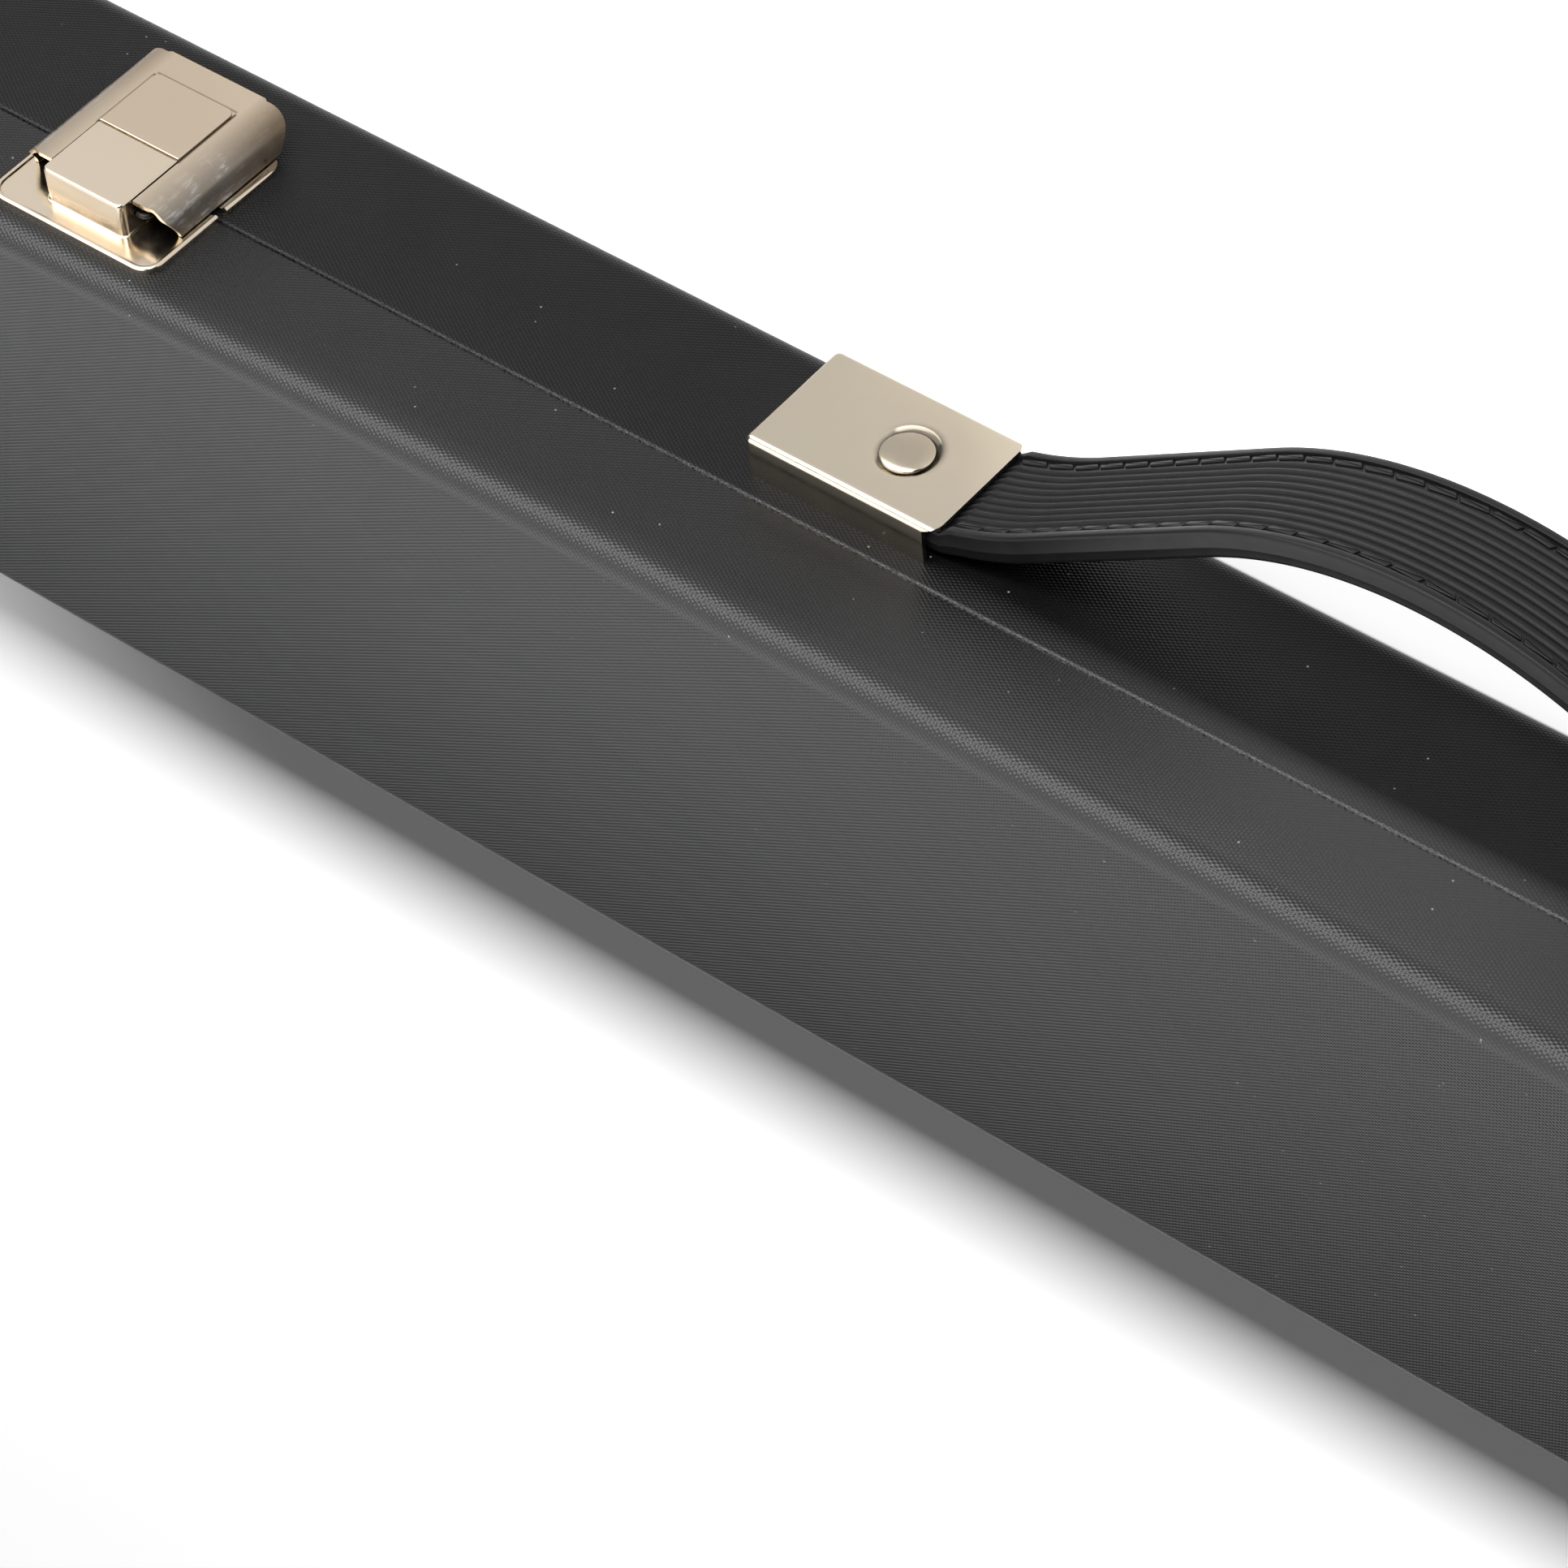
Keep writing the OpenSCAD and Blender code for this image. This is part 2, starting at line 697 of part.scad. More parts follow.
// Rounded cuts for flush rivet heads in a plate.
module flush_seats(v) {
  for (t = [-1, 1]) translate([t * latch_rivet_u, v, 0]) {
    translate([0, 0, -1]) cylinder(h = sheet_t + 2, r = latch_shank_r + fit_gap);
    translate([0, 0, sheet_t - flush_t]) cylinder(h = 2, r = flush_r + fit_gap);
  }
}

// Solid of the pressed box, shrunk by inset for its hollow.
module box_solid(inset) {
  w = 2 * (box_half - inset);
  v0 = -box_down + inset;
  v1 = box_up - inset;
  h = latch_h - inset;
  bend = box_bend - min(inset, box_bend - 0.2);
  corner = box_corner - inset;
  intersection() {
    translate([0, v0, 0]) linear_extrude(h) round_rect(w, v1 - v0, corner, corner);
    translate([0, v1 + 1, 0]) rotate([90, 0, 0]) linear_extrude(v1 - v0 + 2)
      round_rect(w, h, eps, bend);
    translate([-w / 2 - 1, (v0 + v1) / 2, 0]) rotate([90, 0, 90]) linear_extrude(w + 2)
      round_rect(v1 - v0, h, eps, bend);
  }
}

// Lid plate with its hollow pressed box, bored for the lever's pivot.
module latch_plate(x) color(nickel) on_front(x) difference() {
  union() {
    latch_sheet(plate_gap_up, plate_up, true, true);
    difference() {
      box_solid(0);
      translate([-reach, -reach, -1]) cube([2 * reach, reach + plate_gap_up, 1 + overhang_h]);
    }
  }
  translate([0, 0, -eps]) box_solid(box_t);
  translate([-box_half + box_t, -box_down + box_t, -1])
    cube([2 * (box_half - box_t), box_up + box_down - 2 * box_t, 2]);
  translate([-reach, pivot_up, pivot_h]) rotate([0, 90, 0])
    cylinder(h = 2 * reach, r = pivot_r + pivot_fit);
  flush_seats(lid_rivet_v);
}

module latch_plate_left() latch_plate(-latch_x);
module latch_plate_right() latch_plate(latch_x);

// Catch plate with its upright hook, leaning away from the seam.
module latch_catch(x) color(nickel) on_front(x) difference() {
  union() {
    latch_sheet(-catch_down, -catch_gap, false, false);
    rise = hook_h - sheet_t;
    translate([-hook_w / 2, 0, 0]) rotate([90, 0, 90]) linear_extrude(hook_w)
      polygon([[-hook_v, sheet_t - eps], [-hook_v - rise * tan(hook_lean), hook_h],
               [-hook_v - hook_t - rise * tan(hook_lean), hook_h],
               [-hook_v - hook_t, sheet_t - eps]]);
  }
  flush_seats(base_rivet_v);
}

module latch_catch_left() latch_catch(-latch_x);
module latch_catch_right() latch_catch(latch_x);

module latch_pivot(x) color(steel) on_front(x)
  translate([-pivot_half, pivot_up, pivot_h]) rotate([0, 90, 0])
    cylinder(h = 2 * pivot_half, r = pivot_r);

module latch_pivot_left() latch_pivot(-latch_x);
module latch_pivot_right() latch_pivot(latch_x);

// Section of the lever across the case: flat top with a flared skirt bent down on each side.
module lever_section() {
  low_bend = latch_h - bend_out;
  translate([-bend_u, latch_h - sheet_t]) square([2 * bend_u, sheet_t]);
  for (s = [-1, 1]) {
    translate([s * bend_u, low_bend]) difference() {
      circle(bend_out);
      circle(bend_out - sheet_t);
      polygon([[0, 0], [0, 2 * bend_out], [-s * 2 * bend_out, 2 * bend_out],
               [-s * 2 * bend_out, -2 * bend_out], [s * 2 * bend_out, -2 * bend_out],
               [s * 2 * bend_out, 0]]);
    }
    polygon([[s * (lever_half - sheet_t), low_bend], [s * lever_half, low_bend],
             [s * (lever_half + skirt_out), skirt_lo],
             [s * (lever_half + skirt_out - sheet_t), skirt_lo]]);
  }
}

// Side view of the lever: rounded at the free end, swept back under the pivot end.
module lever_side() {
  polygon(concat([[end_round - lever_down, 0], [pivot_up, 0]],
    [for (a = [0 : 15 : 90]) [pivot_up + (lever_up - pivot_up) * (1 - cos(a)),
                              pivot_h - 2 + (latch_h - sheet_t - pivot_h + 2) * sin(a)]],
    [[lever_up, latch_h + 1], [-lever_down, latch_h + 1]],
    [for (a = [0 : 15 : 90]) [end_round * (1 - cos(a)) - lever_down,
                              skirt_lo + end_round * (1 - sin(a))]]));
}

// Ear beside the box that carries the pivot and the end of the bail.
module lever_ear() {
  rotate([90, 0, 90]) linear_extrude(ear_t) difference() {
    union() {
      translate([-slot_end, ear_lo]) square([slot_end + pivot_up, latch_h - sheet_t - ear_lo + eps]);
      translate([pivot_up, pivot_h]) circle(ear_r);
      translate([bail_v, bail_h]) circle(bail_ear_r);
    }
    translate([pivot_up, pivot_h]) circle(pivot_r + running);
    translate([bail_v, bail_h]) circle(wire_r + wire_running);
  }
}

module lever(x) color(nickel) on_front(x) {
  difference() {
    intersection() {
      translate([0, lever_up, 0]) rotate([90, 0, 0]) linear_extrude(lever_up + lever_down)
        lever_section();
      translate([-reach / 2, 0, 0]) rotate([90, 0, 90]) linear_extrude(reach) lever_side();
    }
    translate([-slot_half, -slot_end, 0]) cube([2 * slot_half, reach, latch_h + 1]);
  }
  translate([0, -slot_end, latch_h - eps]) mirror([0, 1, 0]) linear_extrude(emboss_h)
    round_rect(2 * slot_half, emboss_down - slot_end, eps, emboss_corner);
  for (s = [-1, 1]) translate([s * (slot_half + ear_t / 2) - ear_t / 2, 0, 0]) lever_ear();
}

module latch_lever_left() lever(-latch_x);
module latch_lever_right() lever(latch_x);

// Quarter bend of wire starting at the origin along +X and turning to run along -Y.
module wire_bend() {
  translate([0, -bend_r, 0]) rotate_extrude(angle = 90) translate([bend_r, 0]) circle(wire_r);
}

// Wire bail: two arms from the lever's ears to the bar behind the hook.
module bail(x) color(steel) on_front(x) {
  rise = bail_h - bar_h;
  span = norm([rise, bail_v + bar_v]);
  translate([0, bail_v, bail_h]) rotate([atan2(rise, bail_v + bar_v), 0, 0]) {
    for (s = [0, 1]) mirror([s, 0, 0]) {
      translate([slot_half + running, 0, 0]) rotate([0, 90, 0])
        cylinder(h = arm_u - bend_r - slot_half - running, r = wire_r);
      translate([arm_u - bend_r, 0, 0]) wire_bend();
      translate([arm_u, -bend_r, 0]) rotate([90, 0, 0]) cylinder(h = span - 2 * bend_r, r = wire_r);
      translate([arm_u - bend_r, -span, 0]) mirror([0, 1, 0]) wire_bend();
    }
    translate([-arm_u + bend_r, -span, 0]) rotate([0, 90, 0])
      cylinder(h = 2 * (arm_u - bend_r), r = wire_r);
  }
}

module latch_bail_left() bail(-latch_x);
module latch_bail_right() bail(latch_x);

// Flush rivets through a latch plate and the rail behind it.
module latch_rivet(v) {
  for (s = [-1, 1], t = [-1, 1]) on_front(s * latch_x) translate([t * latch_rivet_u, v, 0]) {
    translate([0, 0, sheet_t - flush_t]) cylinder(h = flush_t, r = flush_r);
    translate([0, 0, -skin_t - rail_t - flush_t]) cylinder(h = flush_t, r = flush_r);
    translate([0, 0, -skin_t - rail_t - flush_t])
      cylinder(h = skin_t + rail_t + flush_t + sheet_t, r = latch_shank_r);
  }
}

module latch_lid_rivets() color(steel) latch_rivet(lid_rivet_v);
module latch_base_rivets() color(steel) latch_rivet(base_rivet_v);

base_bottom_panel();
base_front_rail();
base_back_rail();
base_end_left();
base_end_right();
base_wrap();
base_patch_left();
base_patch_right();
cradle();
lid_top_panel();
lid_front_rail();
lid_back_rail();
lid_end_left();
lid_end_right();
lid_wrap();
lid_patch_left();
lid_patch_right();
lid_pad();
hinge_left_base_leaf();
hinge_middle_base_leaf();
hinge_right_base_leaf();
hinge_left_lid_leaf();
hinge_middle_lid_leaf();
hinge_right_lid_leaf();
hinge_left_pin();
hinge_middle_pin();
hinge_right_pin();
hinge_base_screws();
hinge_lid_screws();
handle_cap_left();
handle_cap_right();
handle_rivets();
handle_washers();
handle_grip();
handle_span_left();
handle_span_right();
latch_plate_left();
latch_plate_right();
latch_catch_left();
latch_catch_right();
latch_pivot_left();
latch_pivot_right();
latch_lever_left();
latch_lever_right();
latch_bail_left();
latch_bail_right();
latch_lid_rivets();
latch_base_rivets();
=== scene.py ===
import json
import math

import bmesh
import bpy
from mathutils import Matrix, Vector


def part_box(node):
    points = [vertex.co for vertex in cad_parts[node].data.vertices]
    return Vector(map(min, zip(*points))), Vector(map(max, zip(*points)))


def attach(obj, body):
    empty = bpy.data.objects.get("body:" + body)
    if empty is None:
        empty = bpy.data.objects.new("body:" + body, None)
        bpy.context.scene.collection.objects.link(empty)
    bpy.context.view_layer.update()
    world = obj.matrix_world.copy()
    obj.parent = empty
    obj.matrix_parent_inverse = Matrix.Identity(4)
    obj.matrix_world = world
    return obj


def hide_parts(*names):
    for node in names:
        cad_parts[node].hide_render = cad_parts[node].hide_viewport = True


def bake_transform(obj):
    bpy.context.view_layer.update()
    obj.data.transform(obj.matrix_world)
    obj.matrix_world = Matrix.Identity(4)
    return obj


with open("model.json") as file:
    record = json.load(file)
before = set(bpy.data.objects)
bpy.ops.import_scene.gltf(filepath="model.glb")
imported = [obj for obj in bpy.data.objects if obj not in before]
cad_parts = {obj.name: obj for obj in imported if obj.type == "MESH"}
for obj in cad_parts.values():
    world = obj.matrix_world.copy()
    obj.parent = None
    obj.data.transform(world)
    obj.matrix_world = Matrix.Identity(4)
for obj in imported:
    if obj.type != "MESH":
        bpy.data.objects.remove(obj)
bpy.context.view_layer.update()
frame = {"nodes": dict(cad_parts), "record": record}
NODES = frame["nodes"]

# Shapes are drawn in millimetres and put in the frame, in metres, by place().
MM = 0.001


# ---------- sizes read from the frame ----------

def corners(node):
    """Lowest and highest corner of a CAD node in millimetres."""
    low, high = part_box(node)
    return low / MM, high / MM


def right_middle(node):
    """Mean X of the vertices of a paired node's right half in millimetres."""
    right = [v.co.x for v in NODES[node].data.vertices if v.co.x > 0]
    return sum(right) / len(right) / MM


# Case: 0 is the middle of its length and depth, and the floor.
_, base_high = corners("base_wrap")
lid_low, lid_high = corners("lid_wrap")
HALF_L = corners("base_patch_right")[1].x
HALF_W = base_high.y
PATCH_X = base_high.x
RIM_LOW = base_high.z
RIM_HIGH = lid_low.z
SEAM = (RIM_LOW + RIM_HIGH) / 2
CASE_H = lid_high.z
RIM_W = HALF_W + corners("base_front_rail")[1].y
END_IN = corners("base_end_right")[0].x
EDGE_R = 5.0
CORNER_R = 6.0
LIP_R = 0.6
SKIN_T = corners("base_bottom_panel")[0].z

# Handle: distances from the middle of the case, and heights out of its front face.
cap_low, cap_high = corners("handle_cap_right")
CAP_L = cap_high.x - cap_low.x
CAP_W = cap_high.z - cap_low.z
CAP_H = -HALF_W - cap_low.y
MOUTH_X = cap_low.x
HANDLE_Z = (cap_low.z + cap_high.z) / 2
rivet_low, rivet_high = corners("handle_rivets")
RIVET_X = right_middle("handle_rivets")
HEAD_R = 0.9 * (rivet_high.z - rivet_low.z) / 2

# Latches: half widths, and distances up and down from the seam.
latch_low, latch_high = corners("latch_plate_right")
LATCH_X = (latch_low.x + latch_high.x) / 2
PLATE_HALF = (latch_high.x - latch_low.x) / 2
PLATE_UP = latch_high.z - SEAM
LATCH_H = -HALF_W - latch_low.y
CATCH_DOWN = SEAM - corners("latch_catch_right")[0].z
lever_low, lever_high = corners("latch_lever_right")
LEVER_DOWN = SEAM - lever_low.z
LEVER_HALF = (lever_high.x - lever_low.x) / 2
BOX_HALF = 9.5
BOX_UP = 13.5
PANEL_LOW = -17.0


# ---------- bmesh helpers ----------

def front(x, z=SEAM):
    """Takes (u, v, h) to the front face: u along X, v up from z, h out of the case."""
    return Matrix.Translation((x, -HALF_W, z)) @ Matrix.Rotation(math.radians(90), 4, "X")


def block(bm, low, high):
    """Adds a box and returns its vertices."""
    low, high = Vector(low), Vector(high)
    verts = bmesh.ops.create_cube(bm, size=1)["verts"]
    bmesh.ops.scale(bm, vec=high - low, verts=verts)
    move(bm, verts, (low + high) / 2)
    return verts


def bevel(bm, edges, radius, steps):
    """Rounds edges with a radius."""
    bmesh.ops.bevel(bm, geom=list(edges), offset=radius, offset_type="OFFSET", segments=steps,
                    profile=0.5, affect="EDGES", material=-1, clamp_overlap=False)


def verts_of(geom):
    """The vertices among what an operator made."""
    return [g for g in geom if isinstance(g, bmesh.types.BMVert)]


def edges_of(geom):
    """The edges among what an operator made."""
    return [g for g in geom if isinstance(g, bmesh.types.BMEdge)]


def everything(bm):
    """All parts of a bmesh, as operators take them."""
    return bm.verts[:] + bm.edges[:] + bm.faces[:]


def move(bm, verts, step):
    """Moves vertices by a step."""
    bmesh.ops.translate(bm, vec=step, verts=verts)


def swing(bm, verts, angle, axis, about=(0, 0, 0)):
    """Turns vertices about an axis through a point."""
    bmesh.ops.rotate(bm, cent=about, matrix=Matrix.Rotation(angle, 3, axis), verts=verts)


def edges_at(bm, test):
    """Edges whose two ends both pass a test."""
    return [e for e in bm.edges if all(test(v.co) for v in e.verts)]


def flat_face(bm, test):
    """The largest face whose middle passes a test."""
    return max((f for f in bm.faces if test(f.calc_center_median())), key=lambda f: f.calc_area())


def stamp(bm, face, steps):
    """Presses a face in or out: each step is (inset, lift) along its normal."""
    for inset, lift in steps:
        if inset:
            bmesh.ops.inset_region(bm, faces=[face], thickness=inset, depth=lift,
                                   use_even_offset=True)
        else:
            face = bmesh.ops.extrude_discrete_faces(bm, faces=[face])["faces"][0]
            move(bm, face.verts, face.normal * lift)


def arc(radius, steps, from_flat, way=1):
    """Steps of (inset, lift) for a quarter bend that starts flat or upright; way -1 goes down."""
    turns = [math.radians(90) * i / steps for i in range(steps + 1)]
    along = [radius * math.sin(turn) for turn in turns]
    away = [radius * (1 - math.cos(turn)) for turn in turns]
    inset, lift = (along, away) if from_flat else (away, along)
    return [(inset[i + 1] - inset[i], way * (lift[i + 1] - lift[i])) for i in range(steps)]


def split(bm, point, normal, clear=True):
    """Cuts along a plane, clears the side of its normal if asked, and returns the edges made."""
    return edges_of(bmesh.ops.bisect_plane(bm, geom=everything(bm), dist=1e-5, plane_co=point,
                                           plane_no=normal, clear_outer=clear)["geom_cut"])


def face_outward(bm):
    """Turns the faces of a closed shape to its outside."""
    bmesh.ops.recalc_face_normals(bm, faces=bm.faces)


def turn_over(bm):
    """Turns every face to its other side."""
    bmesh.ops.reverse_faces(bm, faces=bm.faces)


def place(bm, matrix=Matrix.Identity(4)):
    """Moves a shape drawn in millimetres to its place in the frame, in metres."""
    bmesh.ops.transform(bm, matrix=Matrix.Scale(MM, 4) @ matrix, verts=bm.verts)
    if matrix.determinant() < 0:
        turn_over(bm)


def mesh_of(bm, name):
    """Mesh made of a bmesh, which is used up."""
    mesh = bpy.data.meshes.new(name)
    bm.to_mesh(mesh)
    bm.free()
    return mesh


def new_object(name, data):
    """Object in the scene."""
    made = bpy.data.objects.new(name, data)
    bpy.context.scene.collection.objects.link(made)
    return made


def finish_piece(bm, name, material, body, replaces=(), sharp=40):
    """Makes a piece of a bmesh that is already in the frame."""
    mesh = mesh_of(bm, name)
    mesh.shade_smooth()
    mesh.set_sharp_from_angle(angle=math.radians(sharp))
    mesh.materials.append(material)
    piece = new_object(name, mesh)
    if body:
        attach(piece, body)
    if replaces:
        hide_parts(*replaces)
    return piece


def modified(bm, kind, tool=None, **settings):
    """Bmesh with a modifier applied; the tool is another bmesh for the modifier's object."""
    used = [new_object("loose", mesh_of(bm, "loose"))]
    modifier = used[0].modifiers.new(kind, kind)
    if tool is not None:
        used.append(new_object("tool", mesh_of(tool, "tool")))
        modifier.object = used[1]
    for key, value in settings.items():
        setattr(modifier, key, value)
    bpy.context.view_layer.update()
    evaluated = used[0].evaluated_get(bpy.context.evaluated_depsgraph_get())
    mesh = bpy.data.meshes.new_from_object(evaluated)
    bm = bmesh.new()
    bm.from_mesh(mesh)
    for old in (mesh, *(each.data for each in used)):
        bpy.data.meshes.remove(old)
    return bm


def with_wall(bm, thickness):
    """Gives an open shell a wall on its inner side."""
    return modified(bm, "SOLIDIFY", thickness=thickness, offset=-1, use_even_offset=True)


def subtract(bm, cutter):
    """Cuts a closed shape out of another."""
    return modified(bm, "BOOLEAN", cutter, operation="DIFFERENCE", solver="EXACT")


def join(bm, other):
    """Adds another bmesh's shape to this one."""
    mesh = mesh_of(other, "joined")
    bm.from_mesh(mesh)
    bpy.data.meshes.remove(mesh)


def edges_along(bm, axis):
    """Edges that run along one axis."""
    return [e for e in bm.edges if abs((e.verts[0].co - e.verts[1].co).normalized()[axis]) > 0.99]


def grow_edges(bm, edges, step):
    """Carries a row of edges on by a step and returns the new row and its vertices."""
    grown = bmesh.ops.extrude_edge_only(bm, edges=edges)["geom"]
    fresh = verts_of(grown)
    move(bm, fresh, step)
    return [e for e in edges_of(grown) if all(v in fresh for v in e.verts)], fresh


# ---------- materials ----------

def feed(material, node, inputs):
    """Gives sockets of a node a value or another node's output each."""
    for key, value in inputs.items():
        if isinstance(value, bpy.types.NodeSocket):
            material.node_tree.links.new(value, node.inputs[key])
        else:
            node.inputs[key].default_value = value


def add(material, kind, inputs=None, **settings):
    """Adds a node with its inputs and settings."""
    node = material.node_tree.nodes.new(kind)
    for key, value in settings.items():
        setattr(node, key, value)
    feed(material, node, inputs or {})
    return node


def new_material(name, colour, roughness, metallic=0.0):
    """A material with one Principled shader, and that shader."""
    material = bpy.data.materials.new(name)
    material.use_nodes = True
    shader = material.node_tree.nodes["Principled BSDF"]
    feed(material, shader, {"Base Color": (*colour, 1), "Roughness": roughness,
                            "Metallic": metallic})
    return material, shader


def maths(material, operation, a, b=0.0, c=0.0):
    """Output of a Math node."""
    return add(material, "ShaderNodeMath", {0: a, 1: b, 2: c}, operation=operation).outputs[0]


def times(material, first, *others):
    """Product of several outputs."""
    for other in others:
        first = maths(material, "MULTIPLY", first, other)
    return first


def apart(material, value, centre):
    """How far a value lies from a centre in millimetres."""
    return maths(material, "ABSOLUTE", maths(material, "SUBTRACT", value, centre * MM))


def noise(material, coords, scale, detail=3.0, roughness=0.5):
    """Output of a Noise texture, about 0 to 1."""
    inputs = {"Vector": coords, "Scale": scale, "Detail": detail, "Roughness": roughness}
    return add(material, "ShaderNodeTexNoise", inputs).outputs[0]


def spread(material, value, low, high, to_low, to_high):
    """Value moved from one range to another, kept inside it."""
    return add(material, "ShaderNodeMapRange", {"Value": value, "From Min": low, "From Max": high,
                                                "To Min": to_low, "To Max": to_high}).outputs[0]


def rise(material, value, low, high, unit=MM):
    """Share that grows from 0 to 1 between two values, in millimetres unless a unit is given."""
    return spread(material, value, low * unit, high * unit, 0.0, 1.0)


def fall(material, value, low, high, unit=MM):
    """Share that drops from 1 to 0 between two values, in millimetres unless a unit is given."""
    return spread(material, value, low * unit, high * unit, 1.0, 0.0)


def blend_colours(material, share, first, second):
    """Output of a colour mix."""
    node = add(material, "ShaderNodeMix", {0: share, 6: first, 7: second}, data_type="RGBA")
    return node.outputs[2]


def bump(material, shader, height, distance, under=None):
    """Adds a bump to the shader's normal, over an earlier one if given."""
    inputs = {"Height": height, "Distance": distance, "Strength": 1.0}
    if under is not None:
        inputs["Normal"] = under
    normal = add(material, "ShaderNodeBump", inputs).outputs[0]
    feed(material, shader, {"Normal": normal})
    return normal


def object_coords(material):
    """Place on the piece, in metres in the frame."""
    return add(material, "ShaderNodeTexCoord").outputs["Object"]


def axes(material, vector):
    """The three parts of a vector."""
    return add(material, "ShaderNodeSeparateXYZ", {0: vector}).outputs


# Pitch of the embossed weave along the case and round it, in metres, and the map that it follows.
WEAVE_ALONG = 1.31 * MM
WEAVE_ACROSS = 0.77 * MM
WEAVE_UV = "weave"

DEEP_BLACK = (0.0017, 0.0017, 0.0019, 1)
SOFT_BLACK = (0.0024, 0.0024, 0.0026, 1)
# Paler black painted in as light on the lid's front over the handle.
LIT_PATCH_BLACK = (0.016, 0.016, 0.016, 1)
# Pale grey of the seam lips: partly frayed threads, partly a painted highlight.
FRAYED_AND_HIGHLIGHT_GREY = (0.085, 0.085, 0.083, 1)
DUST_GREY = (0.16, 0.16, 0.15, 1)


def plain_weave(material):
    """Height of a plain weave with a lighter thread between its knots, about -1.2 to 1.2."""
    run = axes(material, add(material, "ShaderNodeUVMap", uv_map=WEAVE_UV).outputs[0])
    along = maths(material, "MULTIPLY", run[0], 2 * math.pi / WEAVE_ALONG)
    across = maths(material, "MULTIPLY", run[1], 2 * math.pi / WEAVE_ACROSS)
    knots = times(material, maths(material, "COSINE", along), maths(material, "COSINE", across))
    threads = maths(material, "COSINE", maths(material, "MULTIPLY", along, 2.0))
    return maths(material, "MULTIPLY_ADD", threads, 0.22, knots)


def painted_light_over_handle(material, from_middle, height):
    """Share of paler vinyl painted on the lid's front over the handle, standing in for the light
    that falls there.
    """
    return times(material, fall(material, from_middle, 20, 110),
                 rise(material, height, SEAM - 6, SEAM - 2),
                 fall(material, height, CASE_H - 6.5, CASE_H - 3))


def frayed_and_highlight_lips(material, from_middle, height, grain):
    """Share of pale colour on the lips of the seam, partly frayed threads and partly a painted
    highlight, most of it near the handle.
    """
    return times(material, fall(material, apart(material, height, SEAM), 0.3, 0.5),
                 rise(material, grain, 0.42, 0.62, 1),
                 spread(material, from_middle, 0.13, 0.24, 1.0, 0.25))


def make_vinyl():
    """Black vinyl embossed as a plain weave, with a few specks of dust, a painted patch of light
    over the handle and a partly painted highlight on the seam lips.
    """
    material, shader = new_material("woven_vinyl", (0.004, 0.004, 0.0042), 0.36)
    coords = object_coords(material)
    place_at = axes(material, coords)
    height, from_middle = place_at[2], maths(material, "ABSOLUTE", place_at[0])
    weave = plain_weave(material)
    slack = noise(material, coords, 90.0, 3.0)
    grain = noise(material, coords, 4200.0, 2.0)
    swell = bump(material, shader, slack, 0.10 * MM)
    cloth = bump(material, shader, weave, 0.038 * MM, under=swell)
    bump(material, shader, grain, 0.012 * MM, under=cloth)
    colour = blend_colours(material, rise(material, slack, 0.3, 0.7, 1), DEEP_BLACK, SOFT_BLACK)
    # Painted light: the lid's front over the handle is made paler.
    lit_patch = painted_light_over_handle(material, from_middle, height)
    colour = blend_colours(material, lit_patch, colour, LIT_PATCH_BLACK)
    # Seam lips made pale: partly frayed threads, partly a painted highlight.
    frayed_and_highlight = frayed_and_highlight_lips(material, from_middle, height, grain)
    colour = blend_colours(material, frayed_and_highlight, colour, FRAYED_AND_HIGHLIGHT_GREY)
    specks = add(material, "ShaderNodeTexVoronoi", {"Vector": coords, "Scale": 190.0})
    dust = fall(material, specks.outputs["Distance"], 0.02, 0.045, 1)
    half = spread(material, height, (SEAM - 1) * MM, (SEAM + 1) * MM, 0.115, 0.22)
    edge = spread(material, height, (CASE_H - 8) * MM, (CASE_H - 4) * MM, 0.0, 0.08)
    feed(material, shader, {"Base Color": blend_colours(material, dust, colour, DUST_GREY),
                            "Specular IOR Level": maths(material, "ADD", half, edge),
                            "Roughness": spread(material, weave, -1.2, 1.2, 0.37, 0.27)})
    return material


# Near-black tone painted as shade in the rivets' dimples.
DIMPLE_SHADE = (0.045, 0.038, 0.03, 1)
DULL_NICKEL = (0.33, 0.285, 0.225, 1)


def make_nickel(name, colour, roughness, shade_share=None, matt=None):
    """Warm nickel plate, faintly cloudy; the shade share gives where painted shade darkens it and
    matt gives the share of a duller finish.
    """
    material, shader = new_material(name, colour, roughness, 1.0)
    coords = object_coords(material)
    cloud = noise(material, coords, 160.0, 4.0)
    fine = noise(material, coords, 2400.0, 2.0)
    light, dark = ((*(tone * part for part in colour), 1) for tone in (1.02, 0.97))
    tint = blend_colours(material, cloud, light, dark)
    scuffs = spread(material, cloud, 0.42, 0.68, roughness, roughness + 0.08)
    blurred = maths(material, "MULTIPLY_ADD", fine, 0.05, scuffs)
    # Painted shade where a shade share is given.
    if shade_share:
        tint = blend_colours(material, shade_share(material, coords), tint, DIMPLE_SHADE)
    if matt:
        share = matt(material, coords)
        tint = blend_colours(material, share, tint, DULL_NICKEL)
        blurred = maths(material, "MULTIPLY_ADD", share, 0.25, blurred)
    feed(material, shader, {"Base Color": tint, "Roughness": blurred})
    under = bump(material, shader, noise(material, coords, 90.0, 1.0), 0.03 * MM)
    bump(material, shader, fine, 0.002 * MM, under=under)
    return material


